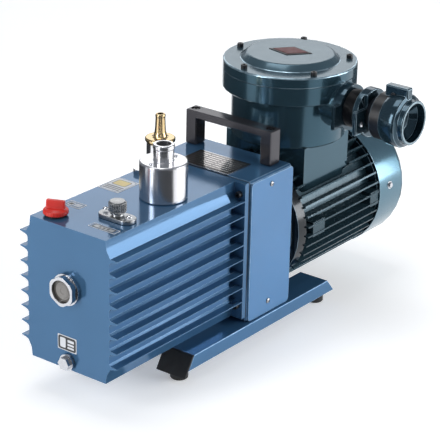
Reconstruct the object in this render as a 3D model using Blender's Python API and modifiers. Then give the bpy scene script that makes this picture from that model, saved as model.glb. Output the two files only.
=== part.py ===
"""A two-stage, oil-sealed rotary vane vacuum pump, driven by a flange-mounted, flameproof motor.

Metres, +Z up. The origin is on the floor, under the middle of the whole machine. Everything is laid
out from the shaft: SHAFT_X is the plane of the shaft, and FRONT_Y is the oil box's front face, so
that every other place is a distance behind that face, beside that plane or above the floor.
"""

import math

import bmesh
import bpy

# Driving dimensions
SHAFT_Z = 0.1305
GAP = 0.0003
BOX_HALF = 0.060
BOX_LOW = 0.0465
BOX_TOP = 0.2350
BOX_WALL = 0.006
FLANGE_Y = 0.2500
FLANGE_HALF = 0.0775
FLANGE_THICK = 0.0074
GASKET_THICK = 0.0010
FIN_COUNT = 8
FIN_PITCH = 0.0201
FIN_FIRST_DROP = 0.0235
FIN_WALL = 0.0650
FIN_TIP = 0.0775
POCKET_Y = 0.2370
POCKET_WALL = 0.0575
BRACKET_HALF = 0.0778
BRACKET_Y0 = FLANGE_Y + FLANGE_THICK + GASKET_THICK + 2 * GAP
BRACKET_Y1 = 0.3513
RAIL_OUT = 0.0841
RAIL_WIDTH = 0.0464
RAIL_TOP = 0.0380
RAIL_LOW = 0.0188
RAIL_TOP_Y = (0.1430, 0.4388)
RAIL_LOW_Y = (0.1312, 0.4550)
FOOT_Y = (0.1415, 0.4430)
FOOT_RADIUS = 0.0118
MOTOR_Y0 = BRACKET_Y1 + GAP
HOUSING_Y = (0.3780, 0.5490)
HOUSING_RADIUS = 0.0905
COWL_Y = (0.5504, 0.6170)
COWL_RADIUS = 0.0916
TERMINAL_Y = 0.4490
TERMINAL_RADIUS = 0.0908
TERMINAL_JOINT_Z = 0.3245
TERMINAL_RIM_Z = 0.3387
TERMINAL_TOP_Z = 0.3478
GLAND_Z = 0.2920
GLAND_END_X = 0.1990
BARB_TOP_Z = 0.3145

# The machine is wider on the gland's side, so its shaft stands to the left of its middle.
SHAFT_X = (COWL_RADIUS - GLAND_END_X) / 2
FRONT_NOSE = 0.0130
FRONT_Y = (FRONT_NOSE - COWL_Y[1]) / 2

FINE, ROUND, COARSE = 32, 24, 16
AXIS_TURN = {"X": (0, math.pi / 2, 0), "Y": (-math.pi / 2, 0, 0), "Z": (0, 0, 0)}
OUTLINE_TURN = {"X": (math.pi / 2, 0, math.pi / 2), "Y": (math.pi / 2, 0, 0), "Z": (0, 0, 0)}

PAINTS = {
    "blue": ((0.09, 0.23, 0.42), 0.35, 0.0),
    "teal": ((0.03, 0.07, 0.10), 0.35, 0.1),
    "polished": ((0.75, 0.75, 0.76), 0.15, 1.0),
    "steel": ((0.42, 0.43, 0.45), 0.35, 1.0),
    "iron": ((0.20, 0.20, 0.21), 0.55, 0.8),
    "brass": ((0.62, 0.43, 0.14), 0.22, 1.0),
    "copper": ((0.55, 0.24, 0.12), 0.40, 1.0),
    "black": ((0.015, 0.015, 0.016), 0.50, 0.0),
    "rubber": ((0.02, 0.02, 0.02), 0.80, 0.0),
    "red": ((0.60, 0.02, 0.015), 0.35, 0.0),
    "glass": ((0.55, 0.55, 0.48), 0.05, 0.0),
    "fibre": ((0.10, 0.09, 0.08), 0.75, 0.0),
    "yellow": ((0.55, 0.36, 0.05), 0.55, 0.0),
}


def clear_scene():
    for obj in list(bpy.data.objects):
        bpy.data.objects.remove(obj)


def make_collection(name):
    collection = bpy.data.collections.new(name)
    bpy.context.scene.collection.children.link(collection)
    return collection


def make_paints():
    made = {}
    for name, (colour, roughness, metallic) in PAINTS.items():
        material = bpy.data.materials.new(name)
        material.use_nodes = True
        shader = material.node_tree.nodes["Principled BSDF"]
        shader.inputs["Base Color"].default_value = (*colour, 1.0)
        shader.inputs["Roughness"].default_value = roughness
        shader.inputs["Metallic"].default_value = metallic
        made[name] = material
    return made


clear_scene()
PUMP = make_collection("rotary_vane_vacuum_pump")
CUTTERS = make_collection("cutters")
MADE_PAINTS = make_paints()


def place(x, y, z):
    """World position of a point beside the shaft plane, behind the front face and above the floor."""
    return (SHAFT_X + x, FRONT_Y + y, z)


def add(name, data, at, turn, paint):
    """Links a mesh as a part, or as a helper when it has no paint."""
    obj = bpy.data.objects.new(name, data)
    obj.location = place(*at)
    obj.rotation_euler = turn
    if paint is None:
        CUTTERS.objects.link(obj)
        obj.hide_render = True
        obj.display_type = "WIRE"
    else:
        PUMP.objects.link(obj)
        data.materials.append(MADE_PAINTS[paint])
    return obj


def box(name, low, high, paint=None, turn=(0, 0, 0)):
    size = [b - a for a, b in zip(low, high)]
    centre = [(a + b) / 2 for a, b in zip(low, high)]
    mesh = bpy.data.meshes.new(name)
    shape = bmesh.new()
    bmesh.ops.create_cube(shape, size=1)
    bmesh.ops.scale(shape, vec=size, verts=shape.verts)
    shape.to_mesh(mesh)
    shape.free()
    return add(name, mesh, centre, turn, paint)


def drum(name, radius, along, start, end, at=(0, 0), paint=None, sides=ROUND, cone=None):
    """A cylinder or a cone. at is the place of its axis, as the two other coordinates in X, Y, Z order."""
    centre = list(at)
    centre.insert("XYZ".index(along), (start + end) / 2)
    mesh = bpy.data.meshes.new(name)
    shape = bmesh.new()
    bmesh.ops.create_cone(
        shape,
        cap_ends=True,
        segments=sides,
        radius1=radius,
        radius2=radius if cone is None else cone,
        depth=end - start,
    )
    shape.to_mesh(mesh)
    shape.free()
    obj = add(name, mesh, centre, AXIS_TURN[along], paint)
    smooth(obj)
    return obj


def turned(name, profile, along, at, paint=None, sides=ROUND):
    """A Screw of (radius, place along the axis) points, from the far end down the outside and back."""
    centre = list(at)
    centre.insert("XYZ".index(along), 0.0)
    mesh = bpy.data.meshes.new(name)
    points = [(radius, 0, height) for radius, height in profile]
    count = len(points)
    ring = profile[0][0] > 0
    edges = [(i, (i + 1) % count) for i in range(count if ring else count - 1)]
    mesh.from_pydata(points, edges, [])
    obj = add(name, mesh, centre, AXIS_TURN[along], paint)
    screw = obj.modifiers.new("turn", "SCREW")
    screw.axis = "Z"
    screw.angle = 2 * math.pi
    screw.steps = sides
    screw.render_steps = sides
    screw.use_merge_vertices = True
    screw.merge_threshold = 0.00001
    screw.use_smooth_shade = True
    return obj


def ring(name, inner, outer, along, start, end, at, paint=None, sides=ROUND):
    profile = [(inner, end), (outer, end), (outer, start), (inner, start)]
    return turned(name, profile, along, at, paint, sides)


def prism(name, outline, along, start, end, paint=None):
    """A flat outline, given in the two other coordinates in X, Y, Z order, extruded along an axis."""
    curve = bpy.data.curves.new(name, "CURVE")
    curve.dimensions = "2D"
    curve.fill_mode = "BOTH"
    curve.extrude = (end - start) / 2
    spline = curve.splines.new("POLY")
    spline.points.add(len(outline) - 1)
    for point, (across, up) in zip(spline.points, outline):
        point.co = (across, up, 0, 1)
    spline.use_cyclic_u = True
    guide = bpy.data.objects.new(name, curve)
    CUTTERS.objects.link(guide)
    bpy.context.view_layer.update()
    evaluated = guide.evaluated_get(bpy.context.evaluated_depsgraph_get())
    mesh = bpy.data.meshes.new_from_object(evaluated)
    bpy.data.objects.remove(guide)
    bpy.data.curves.remove(curve)
    shape = bmesh.new()
    shape.from_mesh(mesh)
    bmesh.ops.remove_doubles(shape, verts=shape.verts, dist=0.00001)
    bmesh.ops.recalc_face_normals(shape, faces=shape.faces)
    shape.to_mesh(mesh)
    shape.free()
    mesh.name = name
    mesh.materials.clear()
    centre = [0.0, 0.0, 0.0]
    centre["XYZ".index(along)] = (start + end) / 2
    return add(name, mesh, centre, OUTLINE_TURN[along], paint)


def rounded(low, high, radius, steps=4):
    """Outline of a rectangle with round corners, in its own two coordinates."""
    corners = [(high[0], high[1], 0), (low[0], high[1], 1), (low[0], low[1], 2), (high[0], low[1], 3)]
    outline = []
    for across, up, quarter in corners:
        centre_across = across - math.copysign(radius, across - low[0] - 1e-6)
        centre_up = up - math.copysign(radius, up - low[1] - 1e-6)
        for step in range(steps + 1):
            angle = (quarter + step / steps) * math.pi / 2
            outline.append(
                (centre_across + radius * math.cos(angle), centre_up + radius * math.sin(angle))
            )
    return outline


def combine(obj, other, operation="DIFFERENCE"):
    modifier = obj.modifiers.new(other.name, "BOOLEAN")
    modifier.operation = operation
    modifier.object = other
    return obj


def cut(obj, *others):
    for other in others:
        combine(obj, other)
    return obj


def join(obj, *others):
    for other in others:
        combine(obj, other, "UNION")
    return obj


def round_edges(obj, width, segments=2, angle=40):
    bevel = obj.modifiers.new("round edges", "BEVEL")
    bevel.width = width
    bevel.segments = segments
    bevel.limit_method = "ANGLE"
    bevel.angle_limit = math.radians(angle)
    return obj


def smooth(obj, angle=35):
    obj.data.shade_smooth()
    obj.data.set_sharp_from_angle(angle=math.radians(angle))


def polar(radius, angle, across=0.0, up=0.0):
    return (across + radius * math.cos(angle), up + radius * math.sin(angle))


def hexagon(across_flats, across=0.0, up=0.0, turn=0):
    corner = across_flats / math.sqrt(3)
    return [polar(corner, math.radians(60 * i + turn), across, up) for i in range(6)]


# ---------------------------------------------------------------- oil box

FILLER = (-0.0370, 0.0207)
BALLAST = (0.0275, 0.0595)
EXHAUST = (0.0244, 0.1505)
INLET = (-0.0320, 0.2130)
COLUMN_TOP = 0.2770
SIGHT_Z = 0.1555
DRAIN_Z = 0.0575
BOLT_X = 0.0690
BOLT_Z = (0.0640, 0.2200)


def fin_outline():
    """The box's cross-section: shelves down both sides, between sloping shoulders."""
    shoulder = BOX_HALF + 0.0015
    right = [(BOX_HALF, BOX_TOP), (shoulder, BOX_TOP - 0.0130)]
    for i in range(FIN_COUNT):
        tip = BOX_TOP - FIN_FIRST_DROP - i * FIN_PITCH
        if i > 0:
            right.append((FIN_WALL, tip + 0.0040))
        right += [
            (FIN_WALL + 0.0022, tip + 0.0016),
            (FIN_TIP, tip + 0.0006),
            (FIN_TIP, tip - 0.0006),
            (FIN_WALL + 0.0055, tip - 0.0020),
            (FIN_WALL + 0.0015, tip - 0.0036),
        ]
        if i < FIN_COUNT - 1:
            right.append((FIN_WALL, tip - 0.0060))
    right += [(shoulder, tip - 0.0125), (BOX_HALF, BOX_LOW)]
    left = [(-across, up) for across, up in reversed(right)]
    return right + left


def fin_pockets():
    """Cutters that thin the side walls between the shelves, and round the bolt heads, by the flange."""
    cutters = []
    for side in (-1, 1):
        for i in range(FIN_COUNT - 1):
            tip = BOX_TOP - FIN_FIRST_DROP - i * FIN_PITCH
            start, end = sorted((side * POCKET_WALL, side * (FIN_TIP + 0.01)))
            low = (start, POCKET_Y, tip - FIN_PITCH + 0.0017)
            high = (end, FLANGE_Y, tip - 0.0022)
            cutters.append(box(f"pocket_{side}_{i}", low, high))
        for height in BOLT_Z:
            name = f"bolt_pocket_{side}_{round(1000 * height)}"
            at = (side * BOLT_X, height)
            cutters.append(drum(name, 0.0090, "Y", POCKET_Y - 0.004, FLANGE_Y, at, sides=COARSE))
    return cutters


def make_oil_box():
    oil_box = prism("oil_box", fin_outline(), "Y", 0, FLANGE_Y + 0.002, "blue")
    flange = box(
        "box_flange",
        (-FLANGE_HALF, FLANGE_Y, BOX_LOW),
        (FLANGE_HALF, FLANGE_Y + FLANGE_THICK, BOX_TOP),
    )
    cut(oil_box, *fin_pockets())
    join(oil_box, flange)
    cavity = box(
        "box_cavity",
        (-BOX_HALF + BOX_WALL, BOX_WALL + 0.001, BOX_LOW + BOX_WALL),
        (BOX_HALF - BOX_WALL, FLANGE_Y + 0.02, BOX_TOP - BOX_WALL),
    )
    top_holes = [("filler", FILLER, 0.0105), ("ballast", BALLAST, 0.0060)]
    top_holes += [("exhaust", EXHAUST, 0.0200), ("inlet", INLET, 0.0130)]
    holes = [
        drum(f"hole_{name}", radius, "Z", BOX_TOP - 0.012, BOX_TOP + 0.01, at, sides=COARSE)
        for name, at, radius in top_holes
    ]
    front_holes = [("sight", SIGHT_Z, 0.0130), ("drain", DRAIN_Z, 0.0063)]
    holes += [
        drum(f"hole_{name}", radius, "Y", -0.01, 0.012, (0, height), sides=COARSE)
        for name, height, radius in front_holes
    ]
    for side in (-1, 1):
        for height in BOLT_Z:
            name = f"hole_bolt_{side}_{round(1000 * height)}"
            holes.append(
                drum(name, 0.0043, "Y", FLANGE_Y - 0.01, 0.27, (side * BOLT_X, height), sides=12)
            )
    cut(oil_box, cavity, *holes)


def make_gasket():
    low_y = FLANGE_Y + FLANGE_THICK + GAP
    gasket = box(
        "box_gasket",
        (-FLANGE_HALF, low_y, BOX_LOW),
        (FLANGE_HALF, low_y + GASKET_THICK, BOX_TOP),
        "rubber",
    )
    window = box(
        "gasket_window",
        (-BOX_HALF + BOX_WALL, low_y - 0.01, BOX_LOW + BOX_WALL),
        (BOX_HALF - BOX_WALL, low_y + 0.01, BOX_TOP - BOX_WALL),
    )
    cut(gasket, window)


def make_top_fittings():
    seat = BOX_TOP + GAP
    ring("filler_seal", 0.0105, 0.0135, "Z", seat, seat + 0.0022, FILLER, "rubber", COARSE)
    cap_low = seat + 0.0022 + GAP
    cap_profile = [
        (0, cap_low + 0.0070),
        (0.0125, cap_low + 0.0065),
        (0.0150, cap_low + 0.0045),
        (0.0156, cap_low + 0.0015),
        (0.0150, cap_low),
        (0.0095, cap_low),
        (0.0095, cap_low - 0.0100),
        (0, cap_low - 0.0100),
    ]
    cap = turned("filler_cap", cap_profile, "Z", FILLER, "red")
    grip = box(
        "cap_grip",
        (FILLER[0] - 0.0122, FILLER[1] - 0.0045, cap_low + 0.004),
        (FILLER[0] + 0.0122, FILLER[1] + 0.0045, 0.2550),
        turn=(0, 0, math.radians(24)),
    )
    round_edges(grip, 0.0012, 1)
    join(cap, grip)
    make_ballast(seat)


def make_ballast(seat):
    outline = rounded(
        (BALLAST[0] - 0.0262, BALLAST[1] - 0.0120), (BALLAST[0] + 0.0262, BALLAST[1] + 0.0120), 0.0115
    )
    flange = prism("ballast_flange", outline, "Z", seat, seat + 0.0052, "polished")
    neck = drum("ballast_neck", 0.0072, "Z", seat + 0.002, seat + 0.0078, BALLAST, sides=COARSE)
    bore = drum("ballast_bore", 0.0030, "Z", seat - 0.01, seat + 0.03, BALLAST, sides=12)
    cut(join(flange, neck), bore)
    knob_low = seat + 0.0078 + GAP
    knob_profile = [
        (0, 0.2590),
        (0.0095, 0.2590),
        (0.0108, 0.2578),
        (0.0114, 0.2560),
        (0.0114, knob_low + 0.001),
        (0.0104, knob_low),
        (0.0027, knob_low),
        (0.0027, knob_low - 0.0060),
        (0, knob_low - 0.0060),
    ]
    turned("ballast_knob", knob_profile, "Z", BALLAST, "polished")


def make_ports():
    seat = BOX_TOP + GAP
    trap_profile = [
        (0.0095, 0.3055),
        (0.0128, 0.3055),
        (0.0136, 0.3045),
        (0.0136, 0.3000),
        (0.0130, 0.2990),
        (0.0130, 0.2840),
        (0.0292, 0.2840),
        (0.0302, 0.2830),
        (0.0302, seat + 0.0008),
        (0.0294, seat),
        (0.0180, seat),
        (0.0180, 0.2760),
        (0.0095, 0.2800),
    ]
    turned("exhaust_trap", trap_profile, "Z", EXHAUST, "polished")
    half_x, half_y = 0.0278, 0.0260
    plate = rounded(
        (INLET[0] - half_x, INLET[1] - half_y), (INLET[0] + half_x, INLET[1] + half_y), 0.009, 3
    )
    body = prism("inlet_flange", plate, "Z", seat, 0.2412, "polished")
    cone_profile = [
        (0, COLUMN_TOP),
        (0.0168, COLUMN_TOP),
        (0.0175, COLUMN_TOP - 0.0007),
        (0.0175, 0.2600),
        (0.0195, 0.2530),
        (0.0245, 0.2440),
        (0.0250, 0.2390),
        (0, 0.2390),
    ]
    column = turned("inlet_column", cone_profile, "Z", INLET)
    bore = drum("inlet_bore", 0.0110, "Z", 0.2300, 0.2900, INLET, sides=COARSE)
    cut(join(body, column), bore)
    barb_low = COLUMN_TOP + GAP
    shoulder = COLUMN_TOP + 0.0066
    barb_profile = [
        (0.0040, BARB_TOP_Z),
        (0.0058, BARB_TOP_Z),
        (0.0066, BARB_TOP_Z - 0.0012),
        (0.0066, BARB_TOP_Z - 0.0100),
        (0.0080, shoulder + 0.0032),
        (0.0084, shoulder),
        (0.0180, shoulder),
        (0.0195, shoulder - 0.0013),
        (0.0195, barb_low + 0.001),
        (0.0185, barb_low),
        (0.0105, barb_low),
        (0.0105, barb_low - 0.0050),
        (0.0040, barb_low - 0.0050),
    ]
    turned("hose_barb", barb_profile, "Z", INLET, "brass")


def make_front_fittings():
    face = -GAP
    nut = prism("sight_glass_nut", hexagon(0.0360, 0, SIGHT_Z, 30), "Y", -FRONT_NOSE, -0.0040, "polished")
    turned_down = drum("sight_turned_down", 0.0193, "Y", -FRONT_NOSE - 0.001, 0, (0, SIGHT_Z))
    combine(nut, turned_down, "INTERSECT")
    collar = drum("sight_collar", 0.0205, "Y", -0.0048, face, (0, SIGHT_Z))
    spigot = drum("sight_spigot", 0.0127, "Y", -0.0040, 0.0080, (0, SIGHT_Z))
    bore = drum("sight_bore", 0.0148, "Y", -0.0300, -0.0045, (0, SIGHT_Z))
    throat = drum("sight_throat", 0.0105, "Y", -0.0200, 0.0200, (0, SIGHT_Z))
    cut(join(nut, collar, spigot), bore, throat)
    drum("sight_glass_lens", 0.0145, "Y", -0.0092, -0.0048, (0, SIGHT_Z), "glass")
    ring("drain_washer", 0.0065, 0.0098, "Y", face - 0.0015, face, (0, DRAIN_Z), "copper", COARSE)
    plug_y = face - 0.0015 - GAP
    plug = drum("drain_plug", 0.0108, "Y", plug_y - 0.0028, plug_y, (0, DRAIN_Z), "polished")
    head = prism("drain_head", hexagon(0.0150, 0, DRAIN_Z), "Y", plug_y - 0.0085, plug_y - 0.001)
    thread = drum("drain_thread", 0.0060, "Y", plug_y - 0.001, 0.0090, (0, DRAIN_Z), sides=COARSE)
    join(plug, head, thread)


# ---------------------------------------------------------------- bracket and base

HANDLE_X = (-0.0750, 0.0650)
HANDLE_Y = (0.3195, 0.3405)
HANDLE_TOP = 0.2833
HANDLE_LEG = 0.0175
HANDLE_BAR = 0.0105
PLATE_X = 0.0415
PLATE_Y = (0.2600, 0.3100)


def make_bracket():
    bracket = box(
        "bracket",
        (-BRACKET_HALF, BRACKET_Y0, RAIL_TOP + GAP),
        (BRACKET_HALF, BRACKET_Y1, BOX_TOP),
        "blue",
    )
    round_edges(bracket, 0.0025, 1)
    inside = box(
        "bracket_inside",
        (-BRACKET_HALF + 0.006, BRACKET_Y0 + 0.010, RAIL_TOP + 0.008),
        (BRACKET_HALF - 0.006, BRACKET_Y1 - 0.008, BOX_TOP - 0.006),
    )
    windows = box(
        "bracket_windows",
        (-BRACKET_HALF - 0.01, BRACKET_Y0 + 0.022, 0.070),
        (BRACKET_HALF + 0.01, BRACKET_Y1 - 0.018, 0.205),
    )
    seal_hole = drum("seal_hole", 0.0203, "Y", BRACKET_Y0 - 0.01, BRACKET_Y0 + 0.02, (0, SHAFT_Z))
    motor_hole = drum("motor_hole", 0.0500, "Y", BRACKET_Y1 - 0.02, BRACKET_Y1 + 0.01, (0, SHAFT_Z))
    cut(bracket, inside, windows, seal_hole, motor_hole)


def make_side_plates():
    start, end = BRACKET_HALF + GAP, BRACKET_HALF + 0.0026
    outline = rounded((BRACKET_Y0 + 0.0015, RAIL_TOP + 0.001), (BRACKET_Y1 - 0.001, 0.2325), 0.005, 3)
    prism("side_plate_right", outline, "X", start, end, "blue")
    prism("side_plate_left", outline, "X", -end, -start, "blue")


def make_data_plate():
    low = BOX_TOP + GAP
    plate = box(
        "data_plate", (-PLATE_X, PLATE_Y[0], low), (PLATE_X, PLATE_Y[1], low + 0.0014), "steel"
    )
    round_edges(plate, 0.0004, 1)


def make_handle():
    low = BOX_TOP + GAP
    left, right = HANDLE_X
    outline = [
        (left, low),
        (left + HANDLE_LEG, low),
        (left + HANDLE_LEG, HANDLE_TOP - HANDLE_BAR),
        (right - HANDLE_LEG, HANDLE_TOP - HANDLE_BAR),
        (right - HANDLE_LEG, low),
        (right, low),
        (right, HANDLE_TOP),
        (left, HANDLE_TOP),
    ]
    handle = prism("handle", outline, "Y", *HANDLE_Y, "black")
    round_edges(handle, 0.0015, 1)
    middle = (HANDLE_Y[0] + HANDLE_Y[1]) / 2
    for end, leg in (("left", left + HANDLE_LEG / 2), ("right", right - HANDLE_LEG / 2)):
        at = (leg, middle)
        cut(
            handle,
            drum(f"handle_counterbore_{end}", 0.0062, "Z", HANDLE_TOP - 0.004, 0.30, at, sides=COARSE),
            drum(f"handle_bolt_hole_{end}", 0.0032, "Z", low - 0.01, 0.30, at, sides=12),
        )


def make_base(side, name):
    outer, inner = RAIL_OUT, RAIL_OUT - RAIL_WIDTH
    start, end = sorted((side * outer, side * inner))
    outline = [
        (RAIL_LOW_Y[0], RAIL_LOW),
        (RAIL_LOW_Y[1], RAIL_LOW),
        (RAIL_TOP_Y[1], RAIL_TOP),
        (RAIL_TOP_Y[0], RAIL_TOP),
    ]
    rail = prism(f"rail_{name}", outline, "X", start, end, "blue")
    wall = 0.003
    hollow = box(
        f"rail_hollow_{name}",
        (start + wall, FOOT_Y[0] + 0.020, RAIL_LOW - 0.01),
        (end - wall, FOOT_Y[1] - 0.020, RAIL_TOP - wall),
    )
    cut(rail, hollow)
    middle = side * (outer - RAIL_WIDTH / 2)
    for end_name, along in zip(("front", "rear"), FOOT_Y):
        profile = [
            (0, RAIL_LOW - GAP),
            (FOOT_RADIUS - 0.0015, RAIL_LOW - GAP),
            (FOOT_RADIUS, RAIL_LOW - 0.0015),
            (FOOT_RADIUS, 0.0015),
            (FOOT_RADIUS - 0.0012, 0.0),
            (0, 0.0),
        ]
        turned(f"foot_{end_name}_{name}", profile, "Z", (middle, along), "rubber", COARSE)
    make_rail_cap(side, name)


def make_rail_cap(side, name):
    """A moulded block over the rail's front end, with a lip under the rail."""
    outer, inner = RAIL_OUT, RAIL_OUT - RAIL_WIDTH
    start, end = sorted((side * outer, side * inner))
    slope = (RAIL_TOP_Y[0] - RAIL_LOW_Y[0]) / (RAIL_TOP - RAIL_LOW)
    thick, lip, low = 0.0035, 0.0020, 0.0110

    def front(height, back):
        return (RAIL_LOW_Y[0] + slope * (height - RAIL_LOW) - back, height)

    outline = [
        front(low, GAP + thick),
        front(low, GAP + thick - lip),
        front(RAIL_LOW - GAP, GAP + thick - lip),
        front(RAIL_LOW - GAP, GAP),
        front(RAIL_TOP, GAP),
        front(RAIL_TOP, GAP + thick),
    ]
    cap = prism(f"rail_cap_{name}", outline, "X", start, end, "rubber")
    round_edges(cap, 0.0006, 1)


# ---------------------------------------------------------------- pump block

BORE_RADIUS = 0.0340
ROTOR_RADIUS = 0.0277
BORE_Z = SHAFT_Z - (BORE_RADIUS - ROTOR_RADIUS - GAP)
BLOCK_LOW = (-0.0460, 0.0820)
BLOCK_HIGH = (0.0460, 0.1820)
END_COVER_Y = (0.1220, 0.1357)
FRONT_STAGE_Y = (0.1360, 0.1717)
MID_PLATE_Y = (0.1720, 0.1837)
REAR_STAGE_Y = (0.1840, 0.2437)
BACK_PLATE_Y = (0.2440, BRACKET_Y0 - GAP)
SHAFT_RADIUS = 0.0090
RUNNING = 0.0003


def make_pump_block():
    blocks = [
        ("pump_end_cover", END_COVER_Y, SHAFT_RADIUS + RUNNING, SHAFT_Z, "iron"),
        ("front_stator", FRONT_STAGE_Y, BORE_RADIUS, BORE_Z, "iron"),
        ("mid_plate", MID_PLATE_Y, SHAFT_RADIUS + RUNNING, SHAFT_Z, "steel"),
        ("rear_stator", REAR_STAGE_Y, BORE_RADIUS, BORE_Z, "iron"),
        ("pump_back_plate", BACK_PLATE_Y, SHAFT_RADIUS + RUNNING, SHAFT_Z, "steel"),
    ]
    for name, (start, end), radius, height, paint in blocks:
        low = (BLOCK_LOW[0], start, BLOCK_LOW[1])
        high = (BLOCK_HIGH[0], end, BLOCK_HIGH[1])
        block = box(name, low, high, paint)
        cut(block, drum(f"{name}_bore", radius, "Y", start - 0.01, end + 0.01, (0, height)))
    make_rotor("front", FRONT_STAGE_Y, 0.1260, FRONT_STAGE_Y[1] - 0.001)
    make_rotor("rear", REAR_STAGE_Y, FRONT_STAGE_Y[1], 0.2810)
    leaf_low = BLOCK_HIGH[1] + GAP
    valve = box(
        "exhaust_valve",
        (-0.011, FRONT_STAGE_Y[0] + 0.004, leaf_low),
        (0.011, REAR_STAGE_Y[0] + 0.030, leaf_low + 0.0012),
        "steel",
    )
    stop = box(
        "valve_stop",
        (-0.0085, FRONT_STAGE_Y[0] + 0.010, leaf_low + 0.0008),
        (0.0085, REAR_STAGE_Y[0] + 0.024, leaf_low + 0.0052),
    )
    join(valve, round_edges(stop, 0.0015, 1))
    ring(
        "shaft_seal",
        SHAFT_RADIUS + RUNNING,
        0.0200,
        "Y",
        BRACKET_Y0 + GAP,
        BRACKET_Y0 + 0.0095,
        (0, SHAFT_Z),
        "rubber",
    )


def make_rotor(stage, span, shaft_start, shaft_end):
    """A slotted rotor with its shaft, and its two vanes, drawn in flush with it."""
    start, end = span[0] + 0.0005, span[1] - 0.0005
    axis = (0, SHAFT_Z)
    rotor = drum(f"{stage}_rotor", ROTOR_RADIUS, "Y", start, end, axis, "steel")
    shaft = drum(f"{stage}_rotor_shaft", SHAFT_RADIUS, "Y", shaft_start, shaft_end, axis, sides=24)
    join(rotor, shaft)
    slot_half, slot_foot = 0.0037, 0.0098
    for side, letter in ((1, "a"), (-1, "b")):
        foot, mouth = sorted((SHAFT_Z + side * slot_foot, SHAFT_Z + side * 0.035))
        slot = box(
            f"{stage}_slot_{letter}", (-slot_half, start - 0.001, foot), (slot_half, end + 0.001, mouth)
        )
        cut(rotor, slot)
        inner, outer = sorted((SHAFT_Z + side * (slot_foot + GAP), SHAFT_Z + side * 0.0270))
        box(
            f"{stage}_vane_{letter}",
            (-slot_half + GAP, start + GAP, inner),
            (slot_half - GAP, end - GAP, outer),
            "fibre",
        )


# ---------------------------------------------------------------- coupling

JAW_Y = (0.2840, 0.2940)
JAW_RADIUS = (0.0115, 0.0240)


def sector(inner, outer, middle, spread, steps=3):
    """Outline of a piece of a ring about the shaft, with its middle and spread in degrees."""
    angles = [math.radians(middle + spread * (i / steps - 0.5)) for i in range(steps + 1)]
    outline = [polar(outer, angle, 0, SHAFT_Z) for angle in angles]
    return outline + [polar(inner, angle, 0, SHAFT_Z) for angle in reversed(angles)]


def make_coupling():
    axis = (0, SHAFT_Z)
    outer = JAW_RADIUS[1]
    bore = SHAFT_RADIUS + GAP
    pump_hub = ring("coupling_hub_pump", bore, outer, "Y", 0.2710, JAW_Y[0] - GAP, axis, "steel")
    motor_hub = ring("coupling_hub_motor", bore, outer, "Y", JAW_Y[1] + GAP, 0.3090, axis, "steel")
    spider = ring("coupling_spider", 0.0095, 0.0110, "Y", *JAW_Y, axis, "red", 24)
    for i in range(3):
        for hub, turn, reach in (
            (pump_hub, 0, (JAW_Y[0] - 0.004, JAW_Y[1])),
            (motor_hub, 60, (JAW_Y[0], JAW_Y[1] + 0.004)),
        ):
            outline = sector(*JAW_RADIUS, turn + 120 * i, 36)
            join(hub, prism(f"{hub.name}_jaw_{i}", outline, "Y", *reach))
    for i in range(6):
        outline = sector(0.0100, outer - 0.0005, 30 + 60 * i, 19, 1)
        join(spider, prism(f"spider_leg_{i}", outline, "Y", *JAW_Y))
    hub_y = (0.3093, 0.3300)
    fan = ring("coupling_fan", bore, 0.0170, "Y", *hub_y, axis, "black", 24)
    blade_count, blade_half = 7, 0.0011
    for i in range(blade_count):
        span = (hub_y[0] + 0.002, hub_y[1])
        join(fan, blade(f"fan_blade_{i}", (0.0150, 0.0600), span, blade_half, i / blade_count))


def blade(name, reach, span, half, turn):
    """A flat fan blade, from its root to its tip, at a part of a full turn about the shaft."""
    angle = 2 * math.pi * turn
    middle = polar(sum(reach) / 2, angle, 0, SHAFT_Z)
    low = (middle[0] - (reach[1] - reach[0]) / 2, span[0], middle[1] - half)
    high = (middle[0] + (reach[1] - reach[0]) / 2, span[1], middle[1] + half)
    return box(name, low, high, turn=(0, -angle, 0))


# ---------------------------------------------------------------- motor

SHAFT_BIG = 0.0120
SHIELD_BORE = SHAFT_BIG + 0.0006
SHIELD_RADIUS = 0.0870
ROOT_RADIUS = 0.0745
STEM_X, STEM_Y = 0.0635, 0.0525
CLEARING_X = 0.0700


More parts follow.
